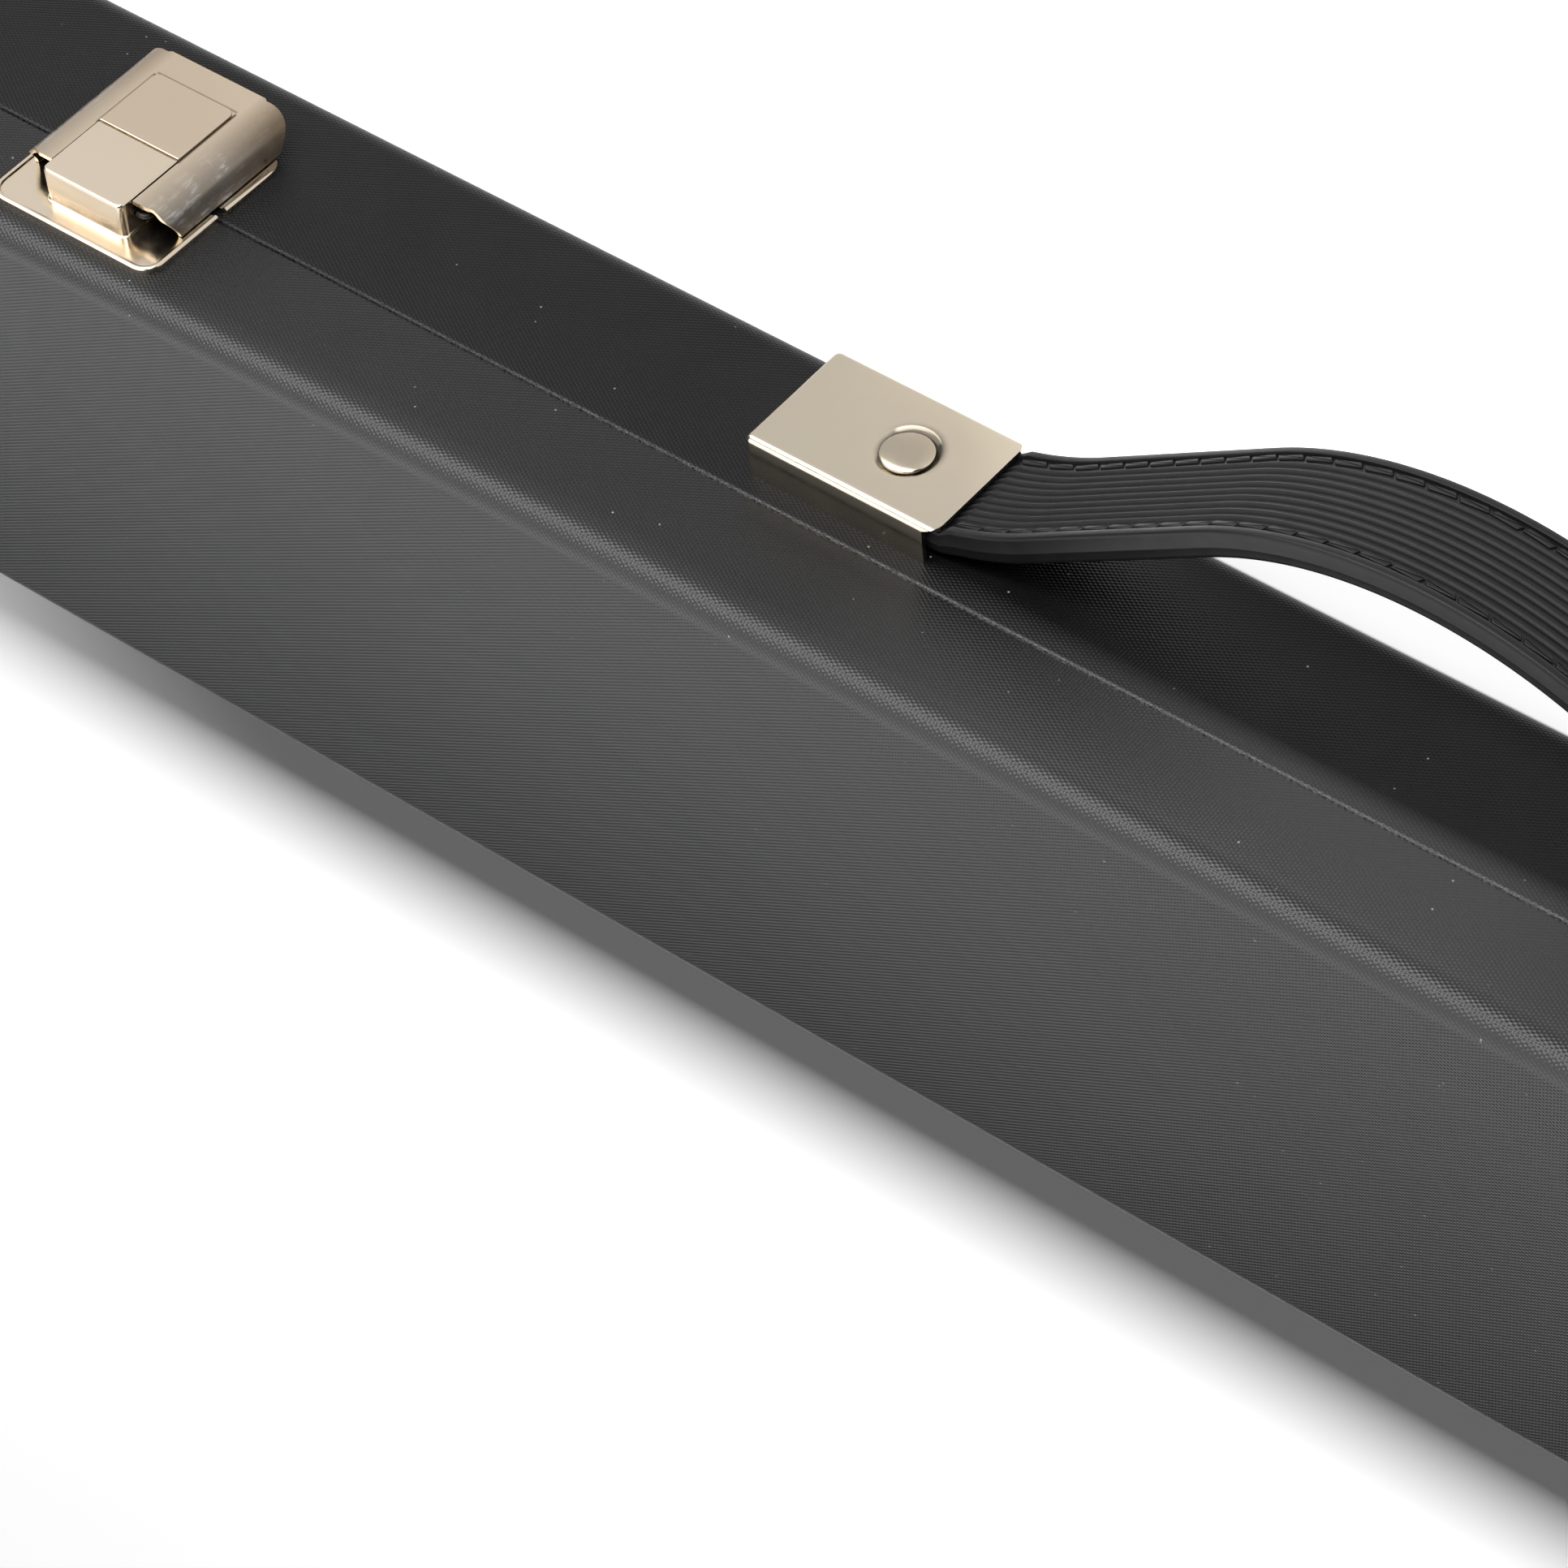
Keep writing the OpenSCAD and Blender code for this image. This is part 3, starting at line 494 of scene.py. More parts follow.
def rivet_dimple_shade(material, coords):
    """Share of painted shade in the dimple round each rivet of the handle, a little off its centre.
    """
    x, _, z = axes(material, coords)
    along = maths(material, "SUBTRACT", maths(material, "ABSOLUTE", x), (RIVET_X - 0.3) * MM)
    up = maths(material, "SUBTRACT", z, (HANDLE_Z - 0.5) * MM)
    squares = maths(material, "MULTIPLY_ADD", along, along, times(material, up, up))
    shade = fall(material, maths(material, "SQRT", squares), HEAD_R + 0.35, HEAD_R + 2.1)
    return times(material, shade, shade)


def upper_box_wall(material, coords):
    """Share of the duller finish on the upper wall of each latch box."""
    _, y, z = axes(material, coords)
    return times(material, rise(material, z, SEAM + BOX_UP - 0.4, SEAM + BOX_UP - 0.1),
                 fall(material, y, -HALF_W - 4.0, -HALF_W - 2.0))


# Attribute of the lever's faces: 1 where they are hidden, -1 on the cut rims, 0 outside; it places
# painted shade on the hidden faces and a painted highlight on the rims.
INSIDE = "inside"

LEVER_NICKEL = (0.43, 0.356, 0.275)
# Bent sides darker: partly wear, partly painted shade for the dark they mirror; darker towards the
# far end.
SIDE_NEAR_WORN_SHADED = (0.20, 0.172, 0.142, 1)
SIDE_FAR_WORN_SHADED = (0.13, 0.098, 0.066, 1)
RUBBED_BRIGHT = (0.42, 0.43, 0.44, 1)
# Painted shade in the slits beside the box and along the panel's ledge.
SLIT_SHADE = (0.05, 0.038, 0.025, 1)
# Painted highlight along the cut rims of the sheet.
RIM_HIGHLIGHT = (0.52, 0.44, 0.33, 1)
# Near black painted on the hidden inner faces as shade.
INSIDE_SHADE = (0.035, 0.028, 0.02, 1)


def lever_slit_shade(material, off, height):
    """Share of painted shade in the slits beside the box and along the ledge of the raised panel.
    """
    low, high = SEAM + PANEL_LOW, SEAM - 1.2
    beside = times(material, rise(material, height, low, low + 0.4),
                   fall(material, height, high - 0.4, high))
    slit = fall(material, apart(material, off, BOX_HALF + 0.2), 0.10, 0.24)
    past = times(material, rise(material, off, BOX_HALF, BOX_HALF + 0.1),
                 fall(material, off, BOX_HALF + 0.5, BOX_HALF + 0.66))
    beyond = times(material, rise(material, height, low - 0.6, low - 0.45),
                   fall(material, height, low - 0.1, low),
                   fall(material, off, BOX_HALF, BOX_HALF + 0.2))
    ledge = maths(material, "MAXIMUM", times(material, past, beside), beyond)
    return maths(material, "MAXIMUM", times(material, slit, beside), times(material, ledge, 0.5))


def make_worn_shaded_nickel():
    """Nickel of the levers: clean on top, worn and darkened by painted shade down the bent sides,
    painted near black inside as shade.
    """
    material, shader = new_material("worn_shaded_nickel", LEVER_NICKEL, 0.16, 1.0)
    coords = object_coords(material)
    x, _, height = axes(material, coords)
    off = apart(material, maths(material, "ABSOLUTE", x), LATCH_X)
    side = rise(material, off, 10.2, 16.0)
    far = fall(material, height, SEAM - 19, SEAM - 6)
    brushed = add(material, "ShaderNodeMapping", {"Vector": coords, "Scale": (1.0, 1.0, 0.18)})
    streaks = noise(material, brushed.outputs[0], 1500.0, 5.0, 0.7)
    cloud = noise(material, coords, 260.0, 5.0, 0.6)
    rubbed = times(material, side, rise(material, streaks, 0.45, 0.66, 1),
                   spread(material, far, 0.0, 0.6, 1.0, 0.1), rise(material, cloud, 0.45, 0.6, 1))
    # Side tone: partly wear, partly painted shade.
    side_wear_and_shade = blend_colours(material, far, SIDE_NEAR_WORN_SHADED, SIDE_FAR_WORN_SHADED)
    worn_and_shaded = blend_colours(material, rubbed, side_wear_and_shade, RUBBED_BRIGHT)
    colour = blend_colours(material, side, (*LEVER_NICKEL, 1), worn_and_shaded)
    # Painted shade in the slits and along the ledge.
    colour = blend_colours(material, lever_slit_shade(material, off, height), colour, SLIT_SHADE)
    inner = add(material, "ShaderNodeAttribute", attribute_name=INSIDE,
                attribute_type="GEOMETRY").outputs["Fac"]
    # Painted highlight on the cut rims.
    colour = blend_colours(material, fall(material, inner, -1.0, -0.5, 1), colour, RIM_HIGHLIGHT)
    rough = spread(material, times(material, side, cloud), 0.0, 0.7, 0.15, 0.42)
    # Hidden faces get painted shade.
    feed(material, shader, {"Base Color": blend_colours(material, inner, colour, INSIDE_SHADE),
                            "Roughness": rough})
    bump(material, shader, times(material, side, streaks), 0.012 * MM)
    return material


def make_strap():
    """Satin black moulded plastic."""
    material, shader = new_material("moulded_strap", (0.0035, 0.0035, 0.0038), 0.36)
    coords = object_coords(material)
    bump(material, shader, noise(material, coords, 3200.0, 3.0, 0.6), 0.02 * MM)
    patches = noise(material, coords, 240.0, 3.0)
    feed(material, shader, {"Roughness": spread(material, patches, 0.3, 0.7, 0.32, 0.42),
                            "Specular IOR Level": 0.13})
    return material


def make_steel():
    """Plain plated steel for pins, screws and rivets."""
    material, shader = new_material("plated_steel", (0.58, 0.57, 0.55), 0.3, 1.0)
    turned = noise(material, object_coords(material), 900.0, 3.0)
    feed(material, shader, {"Roughness": spread(material, turned, 0.3, 0.7, 0.22, 0.42)})
    bump(material, shader, turned, 0.01 * MM)
    return material


def make_wood(name, light, dark, stretch):
    """Planed timber with its grain along X."""
    material, shader = new_material(name, light, 0.6)
    laid = add(material, "ShaderNodeMapping",
               {"Vector": object_coords(material), "Scale": (stretch, 1.0, 1.0)}).outputs[0]
    rings = noise(material, laid, 240.0, 4.0, 0.6)
    fibres = noise(material, laid, 2600.0, 2.0)
    share = rise(material, maths(material, "MULTIPLY_ADD", fibres, 0.3, rings), 0.45, 0.85, 1)
    feed(material, shader, {"Base Color": blend_colours(material, share, (*light, 1), (*dark, 1))})
    bump(material, shader, fibres, 0.05 * MM)
    return material


def make_velour():
    """Short dark pile that catches light at a glance."""
    material, shader = new_material("velour_pile", (0.011, 0.012, 0.017), 0.95)
    coords = object_coords(material)
    pile = noise(material, coords, 2600.0, 4.0, 0.7)
    strokes = noise(material, coords, 45.0, 3.0)
    under = bump(material, shader, strokes, 0.5 * MM)
    bump(material, shader, pile, 0.14 * MM, under=under)
    colour = blend_colours(material, strokes, (0.008, 0.009, 0.013, 1), (0.019, 0.021, 0.028, 1))
    feed(material, shader, {"Base Color": colour, "Specular IOR Level": 0.1, "Sheen Weight": 0.55,
                            "Sheen Roughness": 0.4, "Sheen Tint": (0.5, 0.53, 0.62, 1)})
    return material


VINYL = make_vinyl()
NICKEL = make_nickel("bright_nickel", (0.50, 0.428, 0.338), 0.13, matt=upper_box_wall)
# Rivet heads painted darker than the cap, as painted shade for the darker things their domes
# mirror.
SHADED_RIVET_NICKEL = make_nickel("rivet_nickel", (0.31, 0.27, 0.212), 0.14)
# The cap's rivet dimples get painted shade.
CAP_NICKEL = make_nickel("cap_nickel", (0.405, 0.357, 0.286), 0.13, shade_share=rivet_dimple_shade)
# Near-black steel for the pins and bails under the levers, painted dark as the shade there.
SHADE_DARK_STEEL = make_nickel("steel_painted_dark_as_shade", (0.03, 0.027, 0.024), 0.4)
WORN_SHADED_NICKEL = make_worn_shaded_nickel()
STRAP = make_strap()
STEEL = make_steel()
PINE = make_wood("pine_rail", (0.55, 0.40, 0.24), (0.40, 0.26, 0.13), 0.06)
BOARD = make_wood("fibreboard", (0.36, 0.25, 0.16), (0.28, 0.18, 0.11), 0.5)
VELOUR = make_velour()


# ---------- vinyl-covered shells ----------

PATCH_LAP = 1.5
PATCH_T = 0.22
HINGE_GAP = 0.25
LEAF_SEAT = 2.6
BARREL_ROOM_R = 2.95


def section_run(y, z, height):
    """Distance over the covering from the middle of its large face; z is 0 on that face."""
    side, y = math.copysign(1.0, y), abs(y)
    flat = HALF_W - EDGE_R
    if z < EDGE_R and y < flat:
        return side * y
    if z < EDGE_R:
        return side * (flat + EDGE_R * math.atan2(y - flat, EDGE_R - z))
    run = flat + EDGE_R * math.pi / 2 + z - EDGE_R
    return side * (run + max(0.0, HALF_W - LIP_R - y if z > height - 0.5 * LIP_R else 0.0))


def map_weave(bm, height):
    """Lays the weave on a shell that is still in millimetres with its large face at z 0."""
    layer = bm.loops.layers.uv.new(WEAVE_UV)
    for face in bm.faces:
        at_end = abs(face.normal.x) > 0.75
        for loop in face.loops:
            x, y, z = loop.vert.co
            uv = (y, z) if at_end else (x, section_run(y, z, height))
            loop[layer].uv = (uv[0] * MM, uv[1] * MM)


def covering(height, x0, x1, grow):
    """Vinyl over one half of the case between x0 and x1, with its large face at z 0."""
    bm = bmesh.new()
    block(bm, (-HALF_L, -HALF_W, 0), (HALF_L, HALF_W, height))
    bevel(bm, edges_along(bm, 2), CORNER_R, 8)
    bevel(bm, edges_at(bm, lambda c: c.z < 0.01), EDGE_R, 10)
    bevel(bm, edges_at(bm, lambda c: c.z > height - 0.01), LIP_R, 5)
    rim = flat_face(bm, lambda c: c.z > height - 0.01)
    bmesh.ops.inset_region(bm, faces=[rim], thickness=RIM_W - LIP_R, use_even_offset=True)
    for vert in rim.verts:
        vert.co.x = math.copysign(END_IN, vert.co.x)
    bmesh.ops.delete(bm, geom=[rim], context="FACES")
    for x, way in ((x0, -1), (x1, 1)):
        split(bm, (x, 0, 0), (way, 0, 0))
    bm.normal_update()
    map_weave(bm, height)
    for vert in bm.verts:
        vert.co += vert.normal * grow
    return bm


def hinge_cutters():
    """Room for the hinge leaves and for the barrels, in the rims of both halves."""
    for side in ("left", "middle", "right"):
        low, high = corners(f"hinge_{side}_base_leaf")
        top = corners(f"hinge_{side}_lid_leaf")[1]
        mortise = bmesh.new()
        block(mortise, (low.x - HINGE_GAP, low.y - HINGE_GAP, low.z + LEAF_SEAT),
              (high.x + HINGE_GAP, HALF_W + 5, top.z - LEAF_SEAT))
        place(mortise)
        yield mortise
        groove = bmesh.new()
        middle = Matrix.Translation(((low.x + high.x) / 2, HALF_W + 0.35, SEAM))
        bmesh.ops.create_cone(groove, cap_ends=True, segments=40, radius1=BARREL_ROOM_R,
                              radius2=BARREL_ROOM_R, depth=high.x - low.x + 2.4,
                              matrix=middle @ Matrix.Rotation(math.radians(90), 4, "Y"))
        place(groove)
        yield groove


def cover_half(name, height, matrix):
    """The long wrap and the two end patches of one half."""
    for part, x0, x1, grow in (("wrap", -PATCH_X, PATCH_X, 0.0),
                               ("patch_left", -HALF_L - 1, -PATCH_X + PATCH_LAP, PATCH_T),
                               ("patch_right", PATCH_X - PATCH_LAP, HALF_L + 1, PATCH_T)):
        bm = covering(height, x0, x1, grow)
        place(bm, matrix)
        bm = with_wall(bm, (SKIN_T + grow) * MM)
        if part == "wrap":
            for cutter in hinge_cutters():
                bm = subtract(bm, cutter)
        finish_piece(bm, f"{name}_vinyl_{part}", VINYL, name, [f"{name}_{part}"])


cover_half("base", RIM_LOW, Matrix.Identity(4))
UPSIDE_DOWN = Matrix.Translation((0, 0, CASE_H)) @ Matrix.Scale(-1, 4, (0, 0, 1))
cover_half("lid", CASE_H - RIM_HIGH, UPSIDE_DOWN)


# ---------- handle ----------

# Cap: pressed from sheet, with a dimple for the rivet's head; its sides stop short of its top.
CAP_T = 0.9
CAP_BEND_R = 1.4
CAP_SETBACK = 2.7
RIVET_IN = RIVET_X - MOUTH_X
DIMPLE_R = HEAD_R + 1.7
DIMPLE_H = 0.7
DOME_LEAN = 1.2
SHANK_R = 2.5
WASHER_R = 3.6
WASHER_T = 0.8

# Strap: an arch over the grip, a straight fall and a softer bend into the cap.
grip_low, grip_high = corners("handle_grip")
STRAP_W = grip_high.z - grip_low.z
STRAP_T = 5.6
GRIP_HALF = grip_high.x
CROWN_H = -HALF_W - grip_low.y + 0.7
STRAP_SLOPE = math.radians(32)
ARCH_R = 81.0
ROOT_R = 70.0
ROOT_TOP = CAP_H - 3.0
ARCH_RUN = ARCH_R * STRAP_SLOPE
GRIP_RUN = ARCH_R * math.asin(GRIP_HALF / ARCH_R)
STRAIGHT_RUN = CROWN_H - ROOT_TOP - (ARCH_R + ROOT_R) * (1 - math.cos(STRAP_SLOPE))
STRAIGHT_RUN /= math.sin(STRAP_SLOPE)
TAIL_LOW = 2.4
TAIL_PAST_RIVET = 8.5
SLIDE_R = SHANK_R + 0.4
SLIDE_L = 11.0
STITCH_PITCH = 6.1
STITCH_HALF = 2.7


def side_matrix(side):
    """Handle half: x away from the middle, y up the front face, z out of the case."""
    return front(0, HANDLE_Z) @ Matrix.Scale(side, 4, (1, 0, 0))


def lathe(bm, profile, steps=48):
    """Turns a profile of (radius, height) about Z."""
    verts = [bm.verts.new((r, 0, h)) for r, h in profile]
    edges = [bm.edges.new(pair) for pair in zip(verts, verts[1:])]
    bmesh.ops.spin(bm, geom=verts + edges, cent=(0, 0, 0), axis=(0, 0, 1), angle=2 * math.pi,
                   steps=steps, use_merge=True)
    bmesh.ops.remove_doubles(bm, verts=bm.verts, dist=1e-4)
    face_outward(bm)


def dished_hole(bm, face, centre, rings):
    """Opens a face round a centre: each ring is (radius, lift), the last one is the hole."""
    outline = face.edges[:]
    level = face.verts[0].co.z
    bmesh.ops.delete(bm, geom=[face], context="FACES_KEEP_BOUNDARY")
    start = Matrix.Translation((*centre, level + rings[0][1]))
    ring = bmesh.ops.create_circle(bm, segments=56, radius=rings[0][0], matrix=start)["verts"]
    edges = [e for e in bm.edges if e.verts[0] in ring and e.verts[1] in ring]
    bmesh.ops.triangle_fill(bm, use_beauty=True, edges=outline + edges, normal=(0, 0, 1))
    to_centre = Matrix.Translation((-centre[0], -centre[1], 0))
    for (r0, h0), (r1, h1) in zip(rings, rings[1:]):
        edges, ring = grow_edges(bm, edges, (0, 0, h1 - h0))
        bmesh.ops.scale(bm, vec=(r1 / r0, r1 / r0, 1), verts=ring, space=to_centre)


def set_back_mouth(bm):
    """Draws the cap's sides in behind its top at the mouth, round the corners in a smooth curve."""
    for inset in (2.6, 2.3, 2.0, 1.7):
        for way in (-1, 1):
            split(bm, (0, way * (CAP_W / 2 - inset), 0), (0, 1, 0), clear=False)
    for vert in bm.verts:
        if vert.co.x < 0.01:
            across = abs(vert.co.y) - CAP_W / 2 + CAP_BEND_R
            lean = math.atan2(across, max(0.0, vert.co.z - CAP_H + CAP_BEND_R))
            out = across if lean < 0 else CAP_BEND_R * min(lean, math.pi / 2)
            share = min(1.0, max(0.0, (out + 1.2) / 2.8))
            vert.co.x += CAP_SETBACK * (1 - math.sqrt(1 - share * share))


def make_cap(side, name):
    """Drawn cap: open at the mouth and underneath, its top a little longer than its sides."""
    bm = bmesh.new()
    block(bm, (0, -CAP_W / 2, 0), (CAP_L, CAP_W / 2, CAP_H))
    opened = [f for f in bm.faces if f.normal.z < -0.9 or f.normal.x < -0.9]
    bmesh.ops.delete(bm, geom=opened, context="FACES")
    bevel(bm, [e for e in bm.edges if not e.is_boundary], CAP_BEND_R, 6)
    set_back_mouth(bm)
    bm.normal_update()
    top = flat_face(bm, lambda c: c.z > CAP_H - 0.01)
    rings = [(DIMPLE_R, 0)]
    for step in range(1, 7):
        share = step / 6
        rings.append((DIMPLE_R - 1.7 * share, -DIMPLE_H * (1 - math.cos(math.pi * share)) / 2))
    dished_hole(bm, top, (RIVET_IN, 0), rings + [(SHANK_R + 0.1, -DIMPLE_H)])
    face_outward(bm)
    if max(bm.faces, key=lambda f: f.calc_area()).normal.z < 0:
        turn_over(bm)
    move(bm, bm.verts, (MOUTH_X, 0, 0))
    bm = with_wall(bm, CAP_T)
    place(bm, side_matrix(side))
    finish_piece(bm, f"cap_{name}_shell", CAP_NICKEL, "base", [f"handle_cap_{name}"],
                 sharp=30)


def make_rivet(side, name):
    """Rivet with a low domed head that sits in the cap's dimple, clinched over a washer inside."""
    bm = bmesh.new()
    seat = CAP_H - DIMPLE_H
    inner = -(rivet_high.y + HALF_W)
    profile = []
    for step in range(13):
        lean = DOME_LEAN * step / 12
        height = seat + 0.5 + 1.3 * (math.cos(lean) - math.cos(DOME_LEAN))
        profile.append((HEAD_R * math.sin(lean) / math.sin(DOME_LEAN), height))
    profile += [(HEAD_R + 0.12, seat + 0.3), (HEAD_R + 0.12, seat + 0.1), (HEAD_R, seat)]
    profile += [(SHANK_R, seat), (SHANK_R, inner + WASHER_T), (WASHER_R, inner + WASHER_T)]
    profile += [(WASHER_R, inner), (0, inner)]
    lathe(bm, profile)
    move(bm, bm.verts, (RIVET_X, 0, 0))
    place(bm, side_matrix(side))
    finish_piece(bm, f"rivet_{name}", SHADED_RIVET_NICKEL, "base", ["handle_rivets"], sharp=50)


def strap_profile():
    """Half outline of the strap's section from its middle rib out and under: (across, up)."""
    floor, rib, pitch = -0.62, -0.12, 1.78
    edge, low = STRAP_W / 2, -STRAP_T
    points = []
    for k in range(5):
        centre = k * pitch
        if k:
            points += [(centre - 0.52, floor), (centre - 0.3, rib - 0.12)]
        points += [(centre, rib), (centre + 0.3, rib - 0.12), (centre + 0.52, floor)]
    points += [(edge - 1.75, floor - 0.05), (edge - 1.6, -0.08), (edge - 1.45, 0)]
    points += [(edge - 0.75, 0), (edge - 0.45, -0.06), (edge - 0.2, -0.2), (edge - 0.06, -0.45)]
    points += [(edge, -0.75), (edge, -2.9), (edge + 0.07, -3.05), (edge + 0.07, -3.25)]
    points += [(edge, -3.4), (edge, low + 1.1), (edge - 0.15, low + 0.5), (edge - 0.5, low + 0.15)]
    return points + [(edge - 1.1, low)]


def strap_point(run):
    """Point on the strap's top line at a distance from the crown: (x, height, slope)."""
    if run <= ARCH_RUN:
        turn = run / ARCH_R
        return ARCH_R * math.sin(turn), CROWN_H - ARCH_R * (1 - math.cos(turn)), turn
    x, h, _ = strap_point(ARCH_RUN)
    along = min(run - ARCH_RUN, STRAIGHT_RUN)
    x += along * math.cos(STRAP_SLOPE)
    h -= along * math.sin(STRAP_SLOPE)
    turn = STRAP_SLOPE - (run - ARCH_RUN - along) / ROOT_R
    x += ROOT_R * (math.sin(STRAP_SLOPE) - math.sin(turn))
    h -= ROOT_R * (math.cos(turn) - math.cos(STRAP_SLOPE))
    return x, h, turn


def strap_run_at(x):
    """Distance along the strap at which it reaches x."""
    run = 0.0
    while strap_point(run)[0] < x:
        run += 0.5
    return run


def lay_on_strap(bm, verts, run):
    """Tilts and lifts vertices drawn at the crown's origin to a distance along the strap."""
    x, h, slope = strap_point(run)
    swing(bm, verts, slope, "Y")
    move(bm, verts, (x, 0, h))


def strap_section(bm, run):
    """Closed outline of the strap across its length; returns it as a face."""
    half = strap_profile()
    outline = half + [(-y, z) for y, z in reversed(half[1:])]
    face = bm.faces.new([bm.verts.new((0, y, z)) for y, z in outline])
    lay_on_strap(bm, face.verts, run)
    return face


def grow_arc(bm, face, centre, turn, steps):
    """Carries the end face of the strap round an arc and returns the new end."""
    out = bmesh.ops.spin(bm, geom=[face], cent=centre, axis=(0, 1, 0), angle=turn, steps=steps)
    return next(g for g in out["geom_last"] if isinstance(g, bmesh.types.BMFace))


def grow_straight(bm, face, step):
    """Carries the end face of the strap straight on."""
    out = bmesh.ops.extrude_face_region(bm, geom=[face])["geom"]
    bmesh.ops.delete(bm, geom=[face], context="FACES_ONLY")
    end = next(g for g in out if isinstance(g, bmesh.types.BMFace))
    move(bm, end.verts, step)
    return end


def stitches_between(first, last):
    """Moulded stitches in both border channels, at a pitch along the strap."""
    bm = bmesh.new()
    run = first
    while run < last:
        for side in (-1, 1):
            stitch = bmesh.new()
            block(stitch, (-STITCH_HALF, -0.6, -0.5), (STITCH_HALF, 0.6, 0.12))
            for vert in stitch.verts:
                vert.co.x += side * 0.6 * vert.co.y
            bevel(stitch, edges_along(stitch, 2), 0.3, 3)
            bevel(stitch, edges_at(stitch, lambda c: c.z > 0.11), 0.3, 4)
            old = set(bm.verts)
            join(bm, stitch)
            verts = [v for v in bm.verts if v not in old]
            swing(bm, verts, -side * 0.06, "Z")
            move(bm, verts, (0, side * (STRAP_W / 2 - 2.6), -0.36))
            lay_on_strap(bm, verts, run)
        run += STITCH_PITCH
    return bm


def make_grip():
    """Part of the strap that the hand holds."""
    bm = bmesh.new()
    face = strap_section(bm, GRIP_RUN)
    grow_arc(bm, face, (0, 0, CROWN_H - ARCH_R), -2 * GRIP_RUN / ARCH_R, 40)
    face_outward(bm)
    for way in (1, -1):
        stitches = stitches_between(STITCH_PITCH / 2, GRIP_RUN - STITCH_HALF)
        if way < 0:
            bmesh.ops.scale(stitches, vec=(-1, 1, 1), verts=stitches.verts)
            turn_over(stitches)
        join(bm, stitches)
    place(bm, side_matrix(1))
    finish_piece(bm, "handle_grip_moulding", STRAP, "grip", ["handle_grip"], sharp=35)


def rivet_slide():
    """Slot along which the strap's tail slides past its rivet."""
    slot = bmesh.new()
    outline = bmesh.ops.create_circle(slot, cap_ends=True, segments=32, radius=SLIDE_R)["verts"]
    move(slot, outline, (RIVET_X, 0, -2))
    move(slot, [v for v in outline if v.co.x < RIVET_X - 0.01], (-SLIDE_L, 0, 0))
    top = bmesh.ops.extrude_face_region(slot, geom=slot.faces[:])["geom"]
    move(slot, verts_of(top), (0, 0, 14))
    face_outward(slot)
    return slot


def make_span(side, name):
    """Part of the strap that curves down from the grip into its cap."""
    bm = bmesh.new()
    end = strap_section(bm, GRIP_RUN)
    end = grow_arc(bm, end, (0, 0, CROWN_H - ARCH_R), STRAP_SLOPE - GRIP_RUN / ARCH_R, 2)
    step = Vector((math.cos(STRAP_SLOPE), 0, -math.sin(STRAP_SLOPE))) * STRAIGHT_RUN / 12
    for _ in range(12):
        end = grow_straight(bm, end, step)
    root_x = strap_point(ARCH_RUN + STRAIGHT_RUN)[0] + ROOT_R * math.sin(STRAP_SLOPE)
    turn = STRAP_SLOPE - math.asin((root_x - MOUTH_X + 2.0) / ROOT_R)
    end = grow_arc(bm, end, (root_x, 0, ROOT_TOP + ROOT_R), -turn, 8)
    end = grow_straight(bm, end, (2.6, 0, -0.12))
    middle = end.calc_center_median()
    swing(bm, end.verts, turn - STRAP_SLOPE, "Y", middle)
    bmesh.ops.scale(bm, vec=(1, 1, 0.9), verts=end.verts, space=Matrix.Translation(-middle))
    low = min(v.co.z for v in end.verts)
    move(bm, end.verts, (0, 0, TAIL_LOW - low))
    grow_straight(bm, end, (RIVET_X + TAIL_PAST_RIVET - end.verts[0].co.x, 0, 0))
    face_outward(bm)
    bm = subtract(bm, rivet_slide())
    first = STITCH_PITCH / 2
    first += STITCH_PITCH * math.ceil((GRIP_RUN - STITCH_HALF - first) / STITCH_PITCH)
    join(bm, stitches_between(first, strap_run_at(MOUTH_X - 3)))
    place(bm, side_matrix(side))
    span = finish_piece(bm, f"handle_{name}_moulding", STRAP, None, sharp=35)
    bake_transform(span)
    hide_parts(f"handle_span_{name}")


SIDES = ((-1, "left"), (1, "right"))
for side, name in SIDES:
    make_cap(side, name)
    make_rivet(side, name)
    make_span(side, name)
make_grip()


# ---------- latches ----------

SHEET_T = 0.8
PLATE_R = 4.0
BEAD_H = 0.5
BOX_DOWN = -1.7
BOX_WALL = 0.6
FOOT_R = 0.45
HOOK_HALF = 7.0
HOOK_V = -9.2
HOOK_T = 1.0
HOOK_H = 5.0
HOOK_LEAN = math.radians(20)

# Lever: a flat top with a slot over the box, bent down on both sides to leaning skirts.
LEVER_TOP = LATCH_H - 0.5
BEND_R = 4.4
SKIRT_OUT = 0.8
SKIRT_LOW = 1.1
LEVER_UP = 12.0
PARALLEL_TO = -14.0
BEND_U = LEVER_HALF - SKIRT_OUT - BEND_R
SLOT_HALF = 9.75
SLOT_END = -1.9
EAR_T = 0.8
PIVOT_V = 7.4
PIVOT_H = 4.5


def sheet_plate(low_v, high_v, cut_v, way):
    """Plate with a bead round its edge, cut square at cut_v where way is its outward side."""
    bm = bmesh.new()
    top = SHEET_T + BEAD_H
    block(bm, (-PLATE_HALF, low_v, 0), (PLATE_HALF, high_v, top))
    bevel(bm, edges_along(bm, 2), PLATE_R, 9)
    bevel(bm, edges_at(bm, lambda c: c.z > top - 0.01), 0.5, 5)
    face = flat_face(bm, lambda c: c.z > top - 0.01)
    sunk = arc(BEAD_H / 2, 4, True, -1) + arc(BEAD_H / 2, 4, False, -1)
    stamp(bm, face, [(0.2, 0)] + sunk + [(0.2, 0)])
    bmesh.ops.holes_fill(bm, edges=split(bm, (0, cut_v, 0), (0, way, 0)))
    return bm


